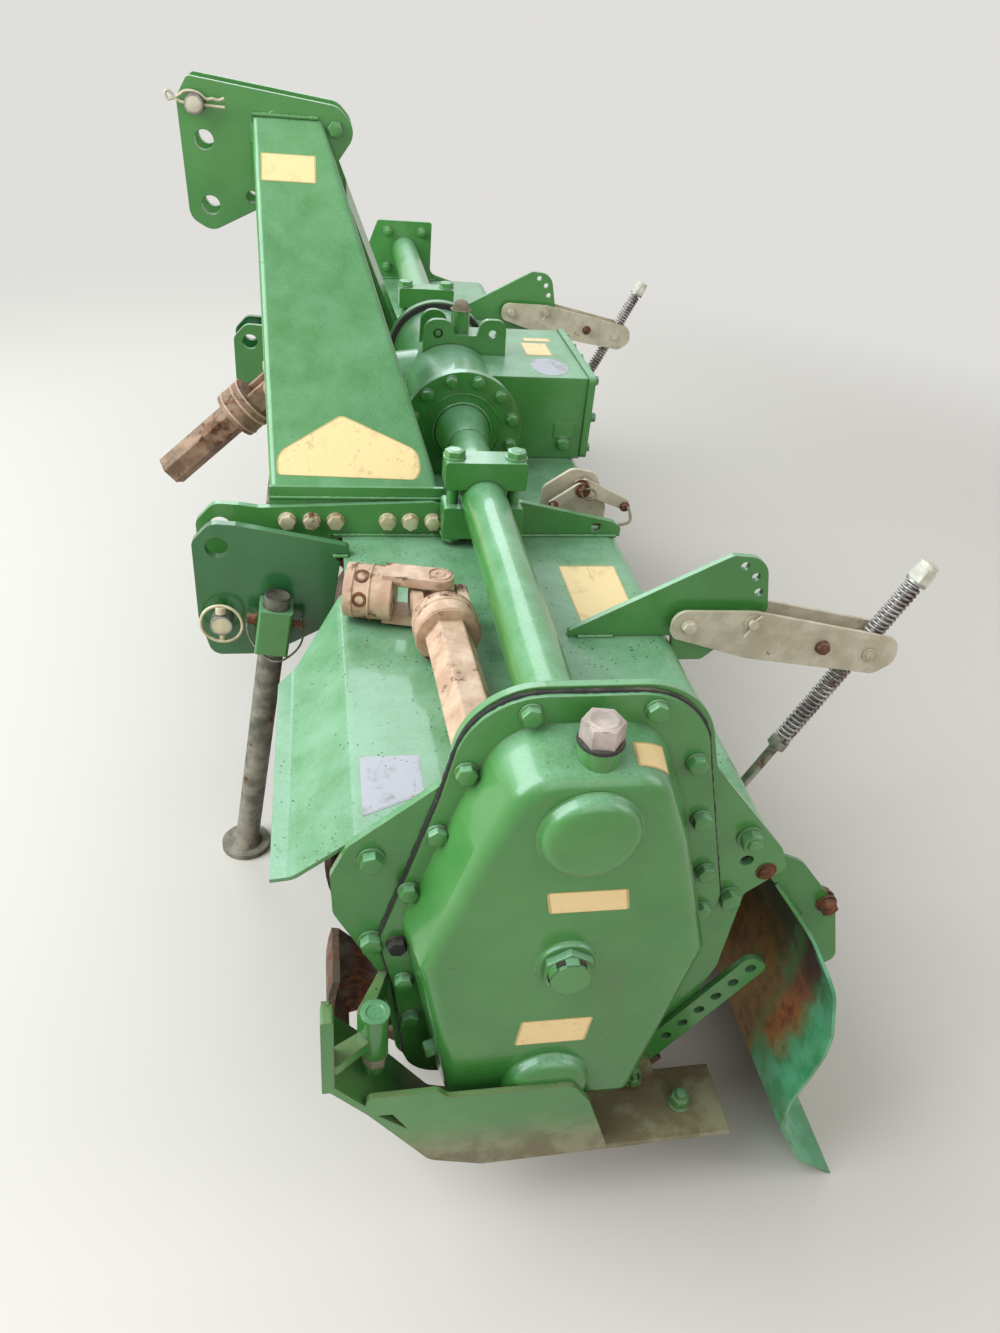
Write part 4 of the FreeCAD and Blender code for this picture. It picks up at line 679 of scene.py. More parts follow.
    def bead(self, points: list[tuple], radius: float, closed: bool = False) -> None:
        """A rippled weld bead or a ragged line of sealant along straight runs."""
        points = [Vector(point) for point in points]
        path = []
        ends = points[1:] + points[:1] if closed else points[1:]
        for start, stop in zip(points, ends):
            count = max(1, round((stop - start).length / (radius * 1.3)))
            path += [start.lerp(stop, step / count) for step in range(count)]
        if not closed:
            path.append(points[-1])
        self.wire(path, radius, smooth=False, closed=closed, ragged=0.22)

    def weld(self, span: tuple[float, float], y: float, z: float, radius: float) -> None:
        """A weld bead from one place ahead of the axle to another."""
        self.bead([(x, y, z) for x in span], radius)

    def drape(self, hold: Grip, corners: list[tuple[float, float]], skin: BVHTree, lift: float) -> None:
        """A thin sheet that follows a skin.

        Args:
            hold: a frame over the skin, its out way pointing back at the viewer.
            corners: the sheet's four corners in the grip's plane.
            skin: what it is laid on.
            lift: its height over the skin.
        """
        wide, high, start_height = 12, 8, 60.0
        matrix, down = hold.matrix(), -hold.out.normalized()
        a, b, c, d = (Vector(corner) for corner in corners)
        rows = []
        for j in range(high + 1):
            rows.append([])
            for i in range(wide + 1):
                flat = a.lerp(b, i / wide).lerp(d.lerp(c, i / wide), j / high)
                start = matrix @ Vector((*flat, start_height))
                spot, normal, _, _ = skin.ray_cast(INTO_FRAME @ start, down, 0.3)
                place = start + down * start_height
                if spot:
                    place = INTO_FRAME.inverted() @ (spot + normal * lift * MM)
                rows[-1].append(self.bm.verts.new(place))
        faces = [self.bm.faces.new((rows[j][i], rows[j][i + 1], rows[j + 1][i + 1], rows[j + 1][i]))
                 for j in range(high) for i in range(wide)]
        bmesh.ops.solidify(self.bm, geom=faces, thickness=0.25)

    @staticmethod
    def _linked(start: bmesh.types.BMVert) -> list:
        """All vertices joined to one."""
        seen, todo = {start}, [start]
        while todo:
            found = {vert for edge in todo.pop().link_edges for vert in edge.verts} - seen
            seen |= found
            todo += found
        return list(seen)

    def wire(self, points: list[tuple], radius: float, smooth: bool = True, closed: bool = False,
             ragged: float = 0.0) -> None:
        """A round wire along points in the machine's millimetres.

        Args:
            points: the points that it runs by.
            radius: its radius.
            smooth: whether it bends evenly between them.
            closed: whether its ends meet.
            ragged: how much its radius changes from point to point.
        """
        curve = bpy.data.curves.new("wire", "CURVE")
        curve.dimensions = "3D"
        curve.bevel_depth = radius
        curve.bevel_resolution = 2
        curve.resolution_u = 6
        curve.use_fill_caps = True
        spline = curve.splines.new("NURBS" if smooth else "POLY")
        spline.points.add(len(points) - 1)
        for point, place in zip(spline.points, points):
            point.co = (*place, 1)
            point.radius = 1.0 + ragged * RANDOM.uniform(-1, 1)
        spline.use_cyclic_u = closed
        if smooth:
            spline.order_u = 3
            spline.use_endpoint_u = not closed
        holder = bpy.data.objects.new("wire", curve)
        mesh = bpy.data.meshes.new_from_object(holder)
        self.bm.from_mesh(mesh)
        bpy.data.objects.remove(holder)
        bpy.data.curves.remove(curve)
        bpy.data.meshes.remove(mesh)

    def close(self) -> bpy.types.Object:
        """Turns the mesh into a piece of the machine.

        Returns:
            The piece, at the origin, with its place in its mesh.
        """
        bmesh.ops.remove_doubles(self.bm, verts=self.bm.verts, dist=0.001)
        bmesh.ops.recalc_face_normals(self.bm, faces=self.bm.faces)
        for face in self.bm.faces:
            face.smooth = True
        for edge in self.bm.edges:
            if len(edge.link_faces) == 2 and edge.calc_face_angle() > math.radians(self.sharp):
                edge.smooth = False
        self._place(self.bm.verts, INTO_FRAME)
        mesh = bpy.data.meshes.new(self.name)
        self.bm.to_mesh(mesh)
        self.bm.free()
        mesh.materials.append(material_of(self.finish))
        piece = placed(self.name, mesh)
        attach(piece, self.body)
        LOG.info("%s: %d faces on %s", self.name, len(mesh.polygons), self.body)
        return piece


class Stickers:
    """Blank stickers: a darker printed edge and the ground inside it."""

    def __init__(self, name: str, ground: Label, edge: Label) -> None:
        """Starts an empty sheet of stickers."""
        self.border = Form(name + "_edges", edge, Slot.GREEN)
        self.face = Form(name, ground, Slot.GREEN)

    @staticmethod
    def _shrunk(outline: list[tuple], margin: float) -> list[tuple]:
        """An outline's corners and radii, drawn in towards its middle."""
        middle = sum((Vector(corner[:2]) for corner in outline), Vector((0, 0))) / len(outline)
        inner = []
        for corner in outline:
            away = Vector(corner[:2]) - middle
            inner.append((*(middle + away * (1 - margin * 1.3 / away.length)),
                          *(max(radius - margin, 0.5) for radius in corner[2:])))
        return inner

    def add(self, hold: Grip, outline: list[tuple], margin: float = 2.0) -> None:
        """Lays a flat sticker; the outline's corners are (x, y) or (x, y, radius)."""
        self.border.slab(hold, rounded(outline), 0.35)
        self.face.slab(hold, rounded(self._shrunk(outline, margin)), 0.55)

    def drape(self, hold: Grip, corners: list[tuple[float, float]], skin: BVHTree) -> None:
        """Lays a sticker on a curved skin."""
        self.border.drape(hold, corners, skin, 0.35)
        self.face.drape(hold, self._shrunk(corners, 2.0), skin, 0.6)

    def close(self) -> None:
        """Turns the sheet into pieces of the machine."""
        self.border.close()
        self.face.close()


@dataclass(frozen=True)
class Machine:
    """Places on the solids that several trims share."""

    half_width: float = 1000.0
    case_face: float = 1068.0
    tube_z: float = 562.0
    deck_z: float = 492.0
    box_top: float = 626.0
    hinge: tuple = (-213.0, 431.0)
    board_half: float = 983.0
    spring_y: float = 662.0


AT = Machine()


@dataclass
class GearCaseTrim:
    """What sits on the side gear case: bolts, domes, sealant, filler plug and castle nut."""

    seat: float = 1008.0
    idler_z: float = 399.0
    plug: tuple = (-5.0, 1040.0, 636.0)
    bolts: tuple = ((47, 642), (-60, 643), (97, 582), (118, 512), (141, 442), (142, 316), (134, 257),
                    (-107, 583), (-125, 515), (-143, 446), (-150, 392))
    nut_seat: tuple = ((25.8, 4.3), (27.4, 4.2), (28.2, 3.2), (28.6, 1.2), (30.5, 0))
    seam: tuple = ((94, 658, 74), (118, 545, 30), (167, 372, 30), (151, 300, 60), (134, 158, 40),
                   (-108, 158, 40), (-168, 406, 36), (-121, 582, 30), (-104, 658, 74))
    dome: tuple = ((0, 14.6), (16, 14.5), (30, 14.1), (35, 13.2), (39, 11.2), (41.6, 8.2), (42.8, 5.0),
                   (43.4, 1.8), (44.4, 0.5), (46, 0))

    def build(self) -> None:
        """Builds all of it."""
        nut = grip(0, AT.case_face, self.idler_z, LEFT)
        with (Form("gear_case_dark_bolt_and_slot_shade", DARK_STEEL, Slot.STEEL) as dark,
              Form("gear_case_domes", CAST_PAINT, Slot.CASTING, sharp=60) as domes,
              Form("gear_case_bolts", CAST_PAINT, Slot.CASTING) as green):
            for x, z in self.bolts:
                green.screw(grip(x, self.seat, z, LEFT), 16.5, 9.5, 10.5)
            green.screw(grip(109.5, 1034, 240, Vector((1, 0.2, -0.15))), 16, 12, 10, turn=0)
            # The castle nut's slot walls go into the dark form as painted shade.
            green.castle(nut.raised(3.6), 43.5, 15.9, 19.3, dark)
            green.lathe(nut.raised(-0.1), self.nut_seat, 40)
            dark.screw(grip(150, self.seat, 370, LEFT), 16.5, 9.5, 10.5, turn=0.4)
            for height in (AT.tube_z, AXLE_Z):
                domes.lathe(grip(0, AT.case_face + 0.2, height, LEFT), self.dome, 64)
        foot = grip(*self.plug, UP)
        with Form("filler_plug_head", DULL_PLUG, Slot.ZINC) as plug:
            plug.drum(foot.raised(3), 18.6, 19.4, 6, bevel=1.6, turn=0.35)
            plug.lathe(foot.raised(22.2), ((0, 0.3), (8, 0.3), (9, 0.9), (12.5, 0.9), (13.5, 0)), 24)
        with Form("sealant", BLACK, Slot.CASTING) as sealant:
            sealant.bead([(x, AT.half_width + 1.2, z) for x, z in rounded(self.seam, 8)], 3.0, closed=True)
            sealant.hoop(foot.raised(1.5), 17.6, 2.6, 8, 24)


@dataclass
class SidePlateTrim:
    """Bolts and washers on both side plates."""

    bolts: tuple = ((175, 477), (174, 368), (-180, 399))
    left_bolt: tuple = (-184, 480)
    head_bolts: tuple = (-42, 42)
    bearing_ring: float = 67.0

    def build(self) -> None:
        """Builds all of it."""
        wide = AT.half_width
        with (Form("side_plate_rusty_rings", RUSTY_STEEL, Slot.STEEL) as rusty,
              Form("side_plate_bolts", PAINT, Slot.GREEN) as green):
            green.screw(grip(self.left_bolt[0], wide, self.left_bolt[1], LEFT), 19, 12, 13, 6, 3, turn=0.2)
            for side in SIDES:
                for x, z in self.bolts:
                    green.screw(grip(x, wide * side, z, LEFT * side), 19, 12, 13)
                rusty.lathe(grip(AT.hinge[0], (wide + 0.1) * side, AT.hinge[1], LEFT * side),
                            ((8.3, 0), (11, 0), (10.6, 0.9), (8.3, 1.0)), 28)
            for index in range(6):
                turn = index * math.tau / 6 + 0.3
                x, z = round_point(self.bearing_ring, turn / math.tau)
                green.screw(grip(x, -wide - 10, AXLE_Z + z, -LEFT), 17, 11, 11.5, turn=turn)
            for x in self.head_bolts:
                for up in self.head_bolts:
                    z = AT.tube_z + up
                    green.screw(grip(x, -wide - 12, z, -LEFT), 19, 12, 12.5, turn=x)
                    green.screw(grip(x, 8 - wide, z, LEFT), 19, 12, 12.5, 6, 5, turn=z)


@dataclass
class HitchTrim:
    """Bolts of the rails and the tube clamps, and the rails' and plates' welds."""

    rail_face: float = 405.0
    leg_face: float = 389.0
    bolts_x: tuple = (259, 227, 195, 125, 94, 63)
    bolt_z: float = 514.0
    clamp_bolt: tuple = (41.0, 425.5)
    cap_top: float = 617.0
    saddle_low: float = 508.0
    rail_welds: tuple = (406.5, 393.5)
    ear_welds: tuple = (466.5, 451.5)

    def build(self) -> None:
        """Builds all of it."""
        with (Form("clamp_bolts", PAINT, Slot.GREEN) as green,
              Form("rail_bolts", YELLOW_ZINC, Slot.ZINC) as yellow):
            for side in SIDES:
                out = LEFT * side
                for x in self.bolts_x:
                    yellow.screw(grip(x, self.rail_face * side, self.bolt_z, out), 19, 11, 12.2)
                    yellow.screw(grip(x, self.leg_face * side, self.bolt_z, -out), 19, 13, 12.5, 6, 4)
                for end in (-1, 1):
                    x, y = self.clamp_bolt[0] * end, self.clamp_bolt[1] * side
                    green.screw(grip(x, y, self.cap_top, UP), 24, 10.6, 15)
                    green.screw(grip(x, y, self.saddle_low, -UP), 24, 10, 14.5)
        with Form("hitch_welds", PAINT, Slot.GREEN, sharp=60) as welds:
            for side in SIDES:
                for places, span in ((self.rail_welds, (-200, 198)), (self.ear_welds, (180, 200))):
                    for y in places:
                        welds.weld(span, y * side, AT.deck_z + 1, 2.6)


@dataclass
class GearboxTrim:
    """Cover bolts, drain plug, seams, collars and breather of the gearbox."""

    half: float = 196.0
    cover_wall: float = 16.0
    box_half: float = 128.0
    box_rear: float = -218.0
    bolt_ring: float = 78.5
    breather_at: tuple = (-14, 2, 691)

    def build(self) -> None:
        """Builds all of it."""
        with Form("gearbox_bolts", CAST_PAINT, Slot.CASTING) as bolts:
            for side in SIDES:
                for index in range(12):
                    x, z = round_point(self.bolt_ring, (index + 0.5) / 12)
                    if AT.tube_z + z > AT.deck_z + 11:
                        bolts.screw(grip(x, self.half * side, AT.tube_z + z, LEFT * side), 15.5, 10, 10.2)
            for y in (-112, -56, 0, 56, 112):
                for z in (AT.deck_z + 13, AT.box_top - 8):
                    bolts.screw(grip(self.box_rear, y, z, -FORWARD), 13, 8.5, 8.6)
            for y in (-124, 124):
                bolts.screw(grip(self.box_rear, y, AT.tube_z, -FORWARD), 13, 8.5, 8.6, turn=0)
            bolts.screw(grip(-176, self.box_half, 518, LEFT), 17, 12, 12, turn=0)
            plate = ((-17, -13, 3), (17, -13, 3), (17, 13, 3), (-17, 13, 3))
            bolts.slab(grip(-176, self.box_half - 0.3, 540, LEFT), rounded(plate), 1.6)
            bolts.screw(grip(24, 16.0, 658, LEFT), 17, 6, stud=5, over=3, turn=0)
            bolts.screw(grip(24, -40.0, 658, -LEFT), 17, 7, turn=0)
        with (Form("gearbox_collars", CAST_PAINT, Slot.CASTING, sharp=60) as collars,
              Form("gearbox_seams", BLACK, Slot.CASTING) as seams):
            for side in SIDES:
                end = grip(0, self.half * side, AT.tube_z, LEFT * side)
                seams.lathe(end.raised(-self.cover_wall - 0.2),
                            ((80.2, -2.4), (88.5, -2.4), (89.6, -0.6), (89.6, 0)), 64)
                collars.hoop(end.raised(0.4), 43.5, 2.6, 8, 48)
                collars.hoop(end.raised(0.1), 58.0, 1.2, 8, 56)
        with Form("gearbox_breather", EARTHY_STEEL, Slot.STEEL) as breather:
            breather.lathe(grip(*self.breather_at, UP), (
                (0, 15), (6, 14.4), (10.5, 11.5), (12.6, 8), (12.6, 1.4), (17.2, 1.2), (17.2, 0)), 28)


@dataclass
class MastTrim:
    """Pin, clip, bolts and welds of the mast."""

    lean: float = math.radians(41.75)
    foot_y: float = 395.0
    foot_z: float = 552.0
    top_pin: tuple = (373.0, 60.0, 961.0)
    spacer: tuple = (184.0, 941.0)
    head_half: float = 38.0
    clip: tuple = (((34, 3), (22, 6), (14, 14), (4, 15.5), (-8, 13), (-16, 5), (-24, 8), (-33, 5), (-40, 9)),
                   ((34, 3), (38, 8), (36, 14), (30, 13), (24, 4), (14, 0), (-20, -1), (-40, -2)))

    def leg_grip(self, x: float, along: float, side: int = 1) -> Grip:
        """A grip on a leg's outer sheet.

        Args:
            x: place ahead of the rotor axis.
            along: distance up the leg from its foot's fold.
            side: which leg, 1 or -1.

        Returns:
            The grip, its X way pointing backwards on the left leg.
        """
        up, inward = math.cos(self.lean), math.sin(self.lean)
        return grip(x, (self.foot_y - inward * along) * side, self.foot_z + up * along,
                    Vector((0, up * side, inward)), -FORWARD * side)

    def build(self) -> None:
        """Builds all of it."""
        with Form("mast_bolts", PAINT, Slot.GREEN) as bolts:
            for side in SIDES:
                y, out = self.head_half * side, LEFT * side
                bolts.screw(grip(self.spacer[0], y, self.spacer[1], out), 19, 9.3, turn=0.4)
                for x, z in ((238, 945), (270, 952)):
                    bolts.lathe(grip(x, y, z, out), ((0, 0.9), (5, 0.8), (6, 0)), 20)
        with Form("top_pin_clip", ZINC, Slot.ZINC) as clip:
            x, y, z = self.top_pin
            for bend in self.clip:
                clip.wire([(x + a, y - 9, z + b) for a, b in bend], 2.0)
            clip.lathe(grip(x, y - 0.6, z, LEFT), ((0, 0.9), (9, 0.9), (11, 0.2), (11.5, 0)), 28)
        with Form("mast_welds", PAINT, Slot.GREEN, sharp=60) as welds:
            for side in SIDES:
                for x in (207, 299):
                    welds.bead([(x, (self.head_half + 1.2) * side, self.leg_grip(x, along).at.z)
                                for along in (528, 490)], 2.4)
                top = self.leg_grip(0, 534).at.z + 2
                welds.weld((208, 298), (self.head_half + 1.5) * side, top, 2.6)
                welds.weld((52, 280), 396 * side, 543.2, 2.2)


@dataclass
class PinTrim:
    """Linch pins, stand pins and their wires at the hitch plates."""

    pin: tuple = (347.0, 489.0, 400.0)
    socket: tuple = (279.0, 487.0, 398.0)
    socket_half: float = 22.0
    lean: float = math.radians(8.4)
    above: float = 48.0

    def build(self) -> None:
        """Builds both sides."""
        out = Vector((math.cos(self.lean), 0, math.sin(self.lean)))
        leg = Vector((-out.z, 0, out.x))
        with (Form("stand_pipe_mouth_shade", BLACK, Slot.PIPE) as dark,
              Form("stand_pin_wires", STEEL, Slot.STEEL) as bails,
              Form("stand_pins", RUSTY_STEEL, Slot.STEEL) as rusty,
              Form("linch_pins", YELLOW_ZINC, Slot.ZINC) as zinc):
            for side in SIDES:
                x, y, z = self.pin
                zinc.drum(grip(x, (y - 9) * side, z - 27, UP), 4.2, 44, 16, bevel=0.6)
                zinc.drum(grip(x, (y - 9) * side, z + 15.5, UP), 7, 10, 20, bevel=1.4)
                zinc.hoop(grip(x, (y - 6.5) * side, z, Vector((0.1, side, 0.05))), 27, 2.1, 10, 48)
                zinc.lathe(grip(x, (y - 0.5) * side, z, LEFT * side),
                           ((0, 0.8), (10.5, 0.8), (13, 0.2), (13.6, 0)), 28)
                socket = Vector((self.socket[0], self.socket[1] * side, self.socket[2]))
                at = socket + UP * 8
                front, back = at + out * self.socket_half, at - out * self.socket_half
                rusty.drum(Grip(front, out, UP), 7.2, 13, 18, bevel=1.6)
                rusty.drum(Grip(back, -out, UP), 4.6, 19, 16, bevel=0.8)
                rusty.drum(Grip(front, out, UP), 9.6, 2.2, 20)
                low = Vector((0, 7 * side, 0))
                bails.wire([front + out * 11, front + out * 15 + low - UP * 10,
                            front + out * 6 + low - UP * 40, at + low * 3.4 - UP * 55,
                            back - out * 6 + low - UP * 42, back - out * 17 + low - UP * 18,
                            back - out * 16 + low * 0.2 - UP * 2, back - out * 16], 1.4)
                bails.drum(Grip(back - out * 14 - UP * 8, UP, out), 1.5, 18, 8)
                # A black disc in each pipe's open end is painted shade of the pipe's inside.
                dark.lathe(Grip(socket + leg * self.above, leg, LEFT), (
                    (0, 0.25), (12.6, 0.25), (13.4, 0.5), (14.4, 1.0), (16, 0.9), (16.9, 0)), 28)


@dataclass
class SpringTrim:
    """Coil springs, nuts, pins and washers of the rear board's spring rods."""

    trunnion: tuple = (-466.0, 470.0)
    eye: tuple = (-338.0, 200.0)
    seat: float = 16.5
    upper: float = 84.0
    lower: float = 150.0
    rod_top: float = 131.0
    wire: float = 2.0
    radius: float = 10.4
    keep: float = 0.40
    arm_out: float = 21.0
    bracket_bolt: tuple = (-398, 483)
    arm_bolt: tuple = (-217, 515.5)
    arm_pin: tuple = (-297, 520)

    def build(self) -> None:
        """Builds both spring sets."""
        for side, word in ((1, "left"), (-1, "right")):
            y = AT.spring_y * side
            way = Vector((self.trunnion[0] - self.eye[0], 0, self.trunnion[1] - self.eye[1])).normalized()
            rod = Grip(Vector((self.trunnion[0], y, self.trunnion[1])), way, LEFT)
            self._coils(rod, word)
            with Form("spring_nut_" + word, NYLON, Slot.ZINC, "spring_rod_" + word) as nut:
                nut.drum(rod.raised(self.rod_top - 26.3), 14.4, 19, 6, bevel=1.2)
                nut.drum(rod.raised(self.rod_top - 8), 12.3, 8.4, bevel=1.5)
            self._hardware(y, word)

    def _coils(self, rod: Grip, word: str) -> None:
        """Winds a rod's two springs, which stand in for the solids' plain ones."""
        low_end = -self.seat - self.lower
        springs = (("upper", self.seat + 1, self.upper - 2, 13), ("lower", low_end + 2, self.lower - 4, 21))
        for name, start, length, turns in springs:
            form = Form(f"{name}_coil_{word}", SPRING, Slot.STEEL, "spring_rod_" + word, 60)
            form.coil(rod.raised(start), self.radius, self.wire, length, turns)
            coil = form.close()
            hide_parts(f"{name}_spring_{word}")
            if name == "lower":
                anchor = INTO_FRAME @ rod.raised(low_end).at
                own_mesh(coil)

    def _hardware(self, middle: float, word: str) -> None:
        """Builds the bolts, pins and rings beside a rod."""
        with (Form("eye_pins_" + word, RUSTY_STEEL, Slot.STEEL, "rear_board") as eyes,
              Form("trunnion_clips_" + word, ZINC, Slot.ZINC, "trunnion_" + word) as ends,
              Form("arm_clips_" + word, ZINC, Slot.ZINC) as clips,
              Form("arm_bolts_" + word, RUSTY_STEEL, Slot.STEEL) as bolts):
            for turn in SIDES:
                y, out = middle + self.arm_out * turn, LEFT * turn
                for form, (x, z) in ((clips, self.arm_bolt), (bolts, self.bracket_bolt)):
                    form.screw(grip(x, y, z, out), 15, 8.3, 9.5)
                x, z = self.arm_pin
                clips.ring(grip(x, y, z, out), 6.1, 10.5, 1.8, 0.2)
                clips.wire([(x + a, y + 5 * turn, z + b)
                            for a, b in ((-9, 11), (-4, 9), (0, 1), (2, -9), (8, -18))], 1.3)
                ends.ring(grip(self.trunnion[0], y + 0.4 * turn, self.trunnion[1], out), 6.1, 9.5, 1.5)
                eyes.ring(grip(self.eye[0], middle + 15.3 * turn, self.eye[1], out), 6.1, 11, 1.6)


@dataclass
class SkidTrim:
    """Bolts of the skids, their straps and pivots."""

    lug_bolt: tuple = (-118, 1015.0, 135)
    sole_bolt: tuple = (-166, 1050, 121.0)
    pivot: tuple = (172.0, 1050.0, 265.0)
    pivot_height: float = 58.0

    def build(self) -> None:
        """Builds both sides."""
        with (Form("skid_pivot_nuts", EARTHY_STEEL, Slot.STEEL) as zinc,
              Form("skid_bolts", PAINT, Slot.GREEN) as green):
            for side in SIDES:
                lug, sole, pivot = (Vector((x, y * side, z)) for x, y, z in (
                    self.lug_bolt, self.sole_bolt, self.pivot))
                green.castle(grip(*lug, LEFT * side), 19, 15, 5.6)
                green.drum(grip(*lug, LEFT * side), 5.4, 17, 14, bevel=0.6)
                green.screw(grip(*sole, UP), 19, 13, 12.6, 6, 7, turn=0.5)
                green.lathe(grip(*pivot, UP).raised(self.pivot_height - 0.4),
                            ((0, 1.6), (8, 1.5), (9, 2.6), (14.2, 2.4), (14.6, 0)), 28)
                zinc.screw(grip(*pivot, -UP).raised(0.3), 20.5, 17, 13.4, turn=0.3)


@dataclass
class RotorTrim:
    """Bolts that hold the tines to the rotor's discs."""

    disc_reach: float = 896.0
    discs: int = 9
    tines: int = 3
    disc_wall: float = 10.0
    tine_wall: float = 8.0
    ring: float = 84.0
    spread: float = 13.0

    def build(self) -> None:
        """Builds them for every tine."""
        step = math.tau / self.tines
        with Form("tine_bolts", RUSTY_STEEL, Slot.TINE, "rotor") as form:
            for disc in range(self.discs):
                middle = self.disc_reach * (2 * disc / (self.discs - 1) - 1)
                for tine in range(self.tines):
                    turn = tine * step + disc * step / 2 / self.discs
                    self._pair(form, middle, 1, turn)
                    self._pair(form, middle, -1, turn + step / 2)

    def _pair(self, form: Form, middle: float, side: int, turn: float) -> None:
        """Two bolts through a tine and its disc, with their nuts behind."""
        down = Vector((-math.sin(turn), 0, -math.cos(turn)))
        across = Vector((math.cos(turn), 0, -math.sin(turn)))
        out = LEFT * side
        for shift in (-self.spread, self.spread):
            at = Vector((0, middle, AXLE_Z)) + down * self.ring + across * shift
            head, nut = Grip(at, out, across), Grip(at, -out, across)
            form.screw(head.raised(self.disc_wall / 2 + self.tine_wall - 0.6), 17, 8, turn=turn + shift)
            form.screw(nut.raised(self.disc_wall / 2 - 0.1), 17, 9, stud=5.5, over=3, turn=turn)


@dataclass
class ShaftTrim:
    """Bearing caps, collars, clamp bolts and sockets of the drive shaft's joints."""

    cross: tuple = (286.0, 0.0, 562.0)
    loose: tuple = (80.0, 636.0, 528.3)
    loose_out: tuple = (0.973473, -0.228766, 0.0)
    loose_way: tuple = (-0.03997, 0.9992, 0.0)
    drop: float = math.radians(42)
    boss_end: float = 32.0
    hub: float = 88.0
    cap: tuple = ((0, 0.6), (3, 0.7), (4, 2.0), (6, 2.0), (7, 1.1), (11.6, 1.1), (12.0, 2.4), (13.6, 2.4),
                  (14.2, 0.7), (16.4, 0.5), (16.9, 0))
    hub_socket: tuple = ((0, 0.9), (4.4, 0.9), (5.2, 2.5), (8.0, 2.7), (9.2, 1.7), (9.6, -1.6))

    def build(self) -> None:
        """Builds both joints."""
        at, loose, out, way = (Vector(v) for v in (self.cross, self.loose, self.loose_out, self.loose_way))
        with Form("loose_hub_sockets", RUSTY_STEEL, Slot.SHAFT) as sockets:
            for tilt in (math.radians(10), math.radians(62)):
                face = LEFT * math.cos(tilt) + UP * math.sin(tilt)
                face = (face - out * face.dot(out)).normalized()
                sockets.lathe(Grip(loose + out * self.hub + face * 29.8, face, out), self.hub_socket, 24)
        with (Form("loose_joint_caps", SHAFT, Slot.SHAFT) as lying,
              Form("hanging_joint_caps", SHAFT, Slot.SHAFT, "hanging_shaft") as swinging,
              Form("input_joint_caps", SHAFT, Slot.SHAFT) as fixed):
            for form, cross, axis in ((fixed, at, UP), (swinging, at, LEFT), (lying, loose, UP),
                                      (lying, loose, way.cross(UP))):
                for side in SIDES:
                    ahead = abs(axis.dot(FORWARD)) < 0.9
                    cap = Grip(cross, axis * side, FORWARD if ahead else UP)
                    form.lathe(cap.raised(self.boss_end - 0.1), self.cap, 36)
            hanging = Vector((math.cos(self.drop), 0, -math.sin(self.drop)))
            self._collar(swinging, at, hanging, 40.2)
            self._collar(lying, loose, way, 36.2)
            self._lock(lying, loose + out * self.hub, out)
            self._lock(fixed, at - FORWARD * 74, -FORWARD)

    @staticmethod
    def _collar(form: Form, cross: Vector, way: Vector, radius: float) -> None:
        """Rounded edges and a groove round a profile tube's collar."""
        for place, wire in ((46, 1.6), (58, 2.4), (80, 2.0)):
            hold = Grip(cross + way * place, way, LEFT if abs(way.y) < 0.9 else UP)
            form.hoop(hold, radius - 0.6, wire, 8, 40)

    @staticmethod
    def _lock(form: Form, at: Vector, way: Vector) -> None:
        """A hub's clamp bolt, with two raised bands."""
        for shift in (-10, 10):
            form.hoop(Grip(at + way * shift, way, UP), 31.6, 1.8, 8, 40)
        side = way.cross(UP)
        form.screw(Grip(at + side * 31.0 + UP * 4, side, UP), 15, 9, 9, turn=0)


@dataclass
class HoodTrim:
    """Welds of the hood, and the levers' bolts and rods."""

    inner_y: float = 992.0
    lever: tuple = (-152.0, 378.0, 548.0)
    rod: tuple = ((-110, 373, 527), (-108, 382, 524), (-120, 386, 515), (-170, 392, 503), (-222, 396, 505),
                  (-226, 380, 516), (-224, 366, 520))
    hook: tuple = ((-150, 384, 560), (-144, 388, 548), (-158, 388, 538), (-172, 386, 545),
                   (-160, 384, 558), (-150, 382, 552))

    def build(self) -> None:
        """Builds all of it."""
        with Form("hood_welds", DECK_PAINT, Slot.GREEN, sharp=60) as welds:
            for side in SIDES:
                welds.weld((-80, 190), (self.inner_y - 1.4) * side, AT.deck_z + 1.2, 2.6)
                for shift in (5.4, -5.4):
                    welds.weld((-86, -130), (AT.spring_y + shift) * side, AT.deck_z + 1, 2.4)
        with Form("lever_bolts", RUSTY_STEEL, Slot.STEEL) as levers:
            x, y, z = self.lever
            levers.screw(grip(x, y - 4.2, z, LEFT), 13, 7.5, 11, turn=0.2)
            levers.ring(grip(x, 362.1, z, LEFT), 7.1, 11.5, 1.6)
            for place in ((-112, 371, 523), (-221, 362, 518)):
                levers.screw(grip(*place, LEFT), 10, 6, 7.5, turn=0)
        with Form("lever_rod", EARTHY_STEEL, Slot.STEEL) as rod:
            rod.wire(self.rod, 2.2)
            rod.wire(self.hook, 1.5)


@dataclass
class BoardTrim:
    """Bolts and welds of the rear board."""

    wall: float = 5.0
    bolt: tuple = (-305.0, 359.0)
    weld: tuple = ((-66, -86), (-84, -121), (-88, -169))

    def build(self) -> None:
        """Builds both ends."""
        x, z = self.bolt
        with (Form("board_welds", OLD_PAINT, Slot.GREEN, "rear_board", 60) as welds,
              Form("board_bolts", RUSTY_STEEL, Slot.STEEL, "rear_board") as bolts):
            for side in SIDES:
                end, out = AT.board_half * side, LEFT * side
                bolts.screw(grip(x, end, z, out).raised(0.1), 17, 11, 11.5, turn=0.5)
                inner = grip(x, end, z, -out).raised(self.wall + 0.1)
                bolts.screw(inner, 17, 11, 11.5, 5, 3, turn=0)
                welds.bead([(AT.hinge[0] + a, end + 1.4 * side, AT.hinge[1] + b) for a, b in self.weld], 2.6)


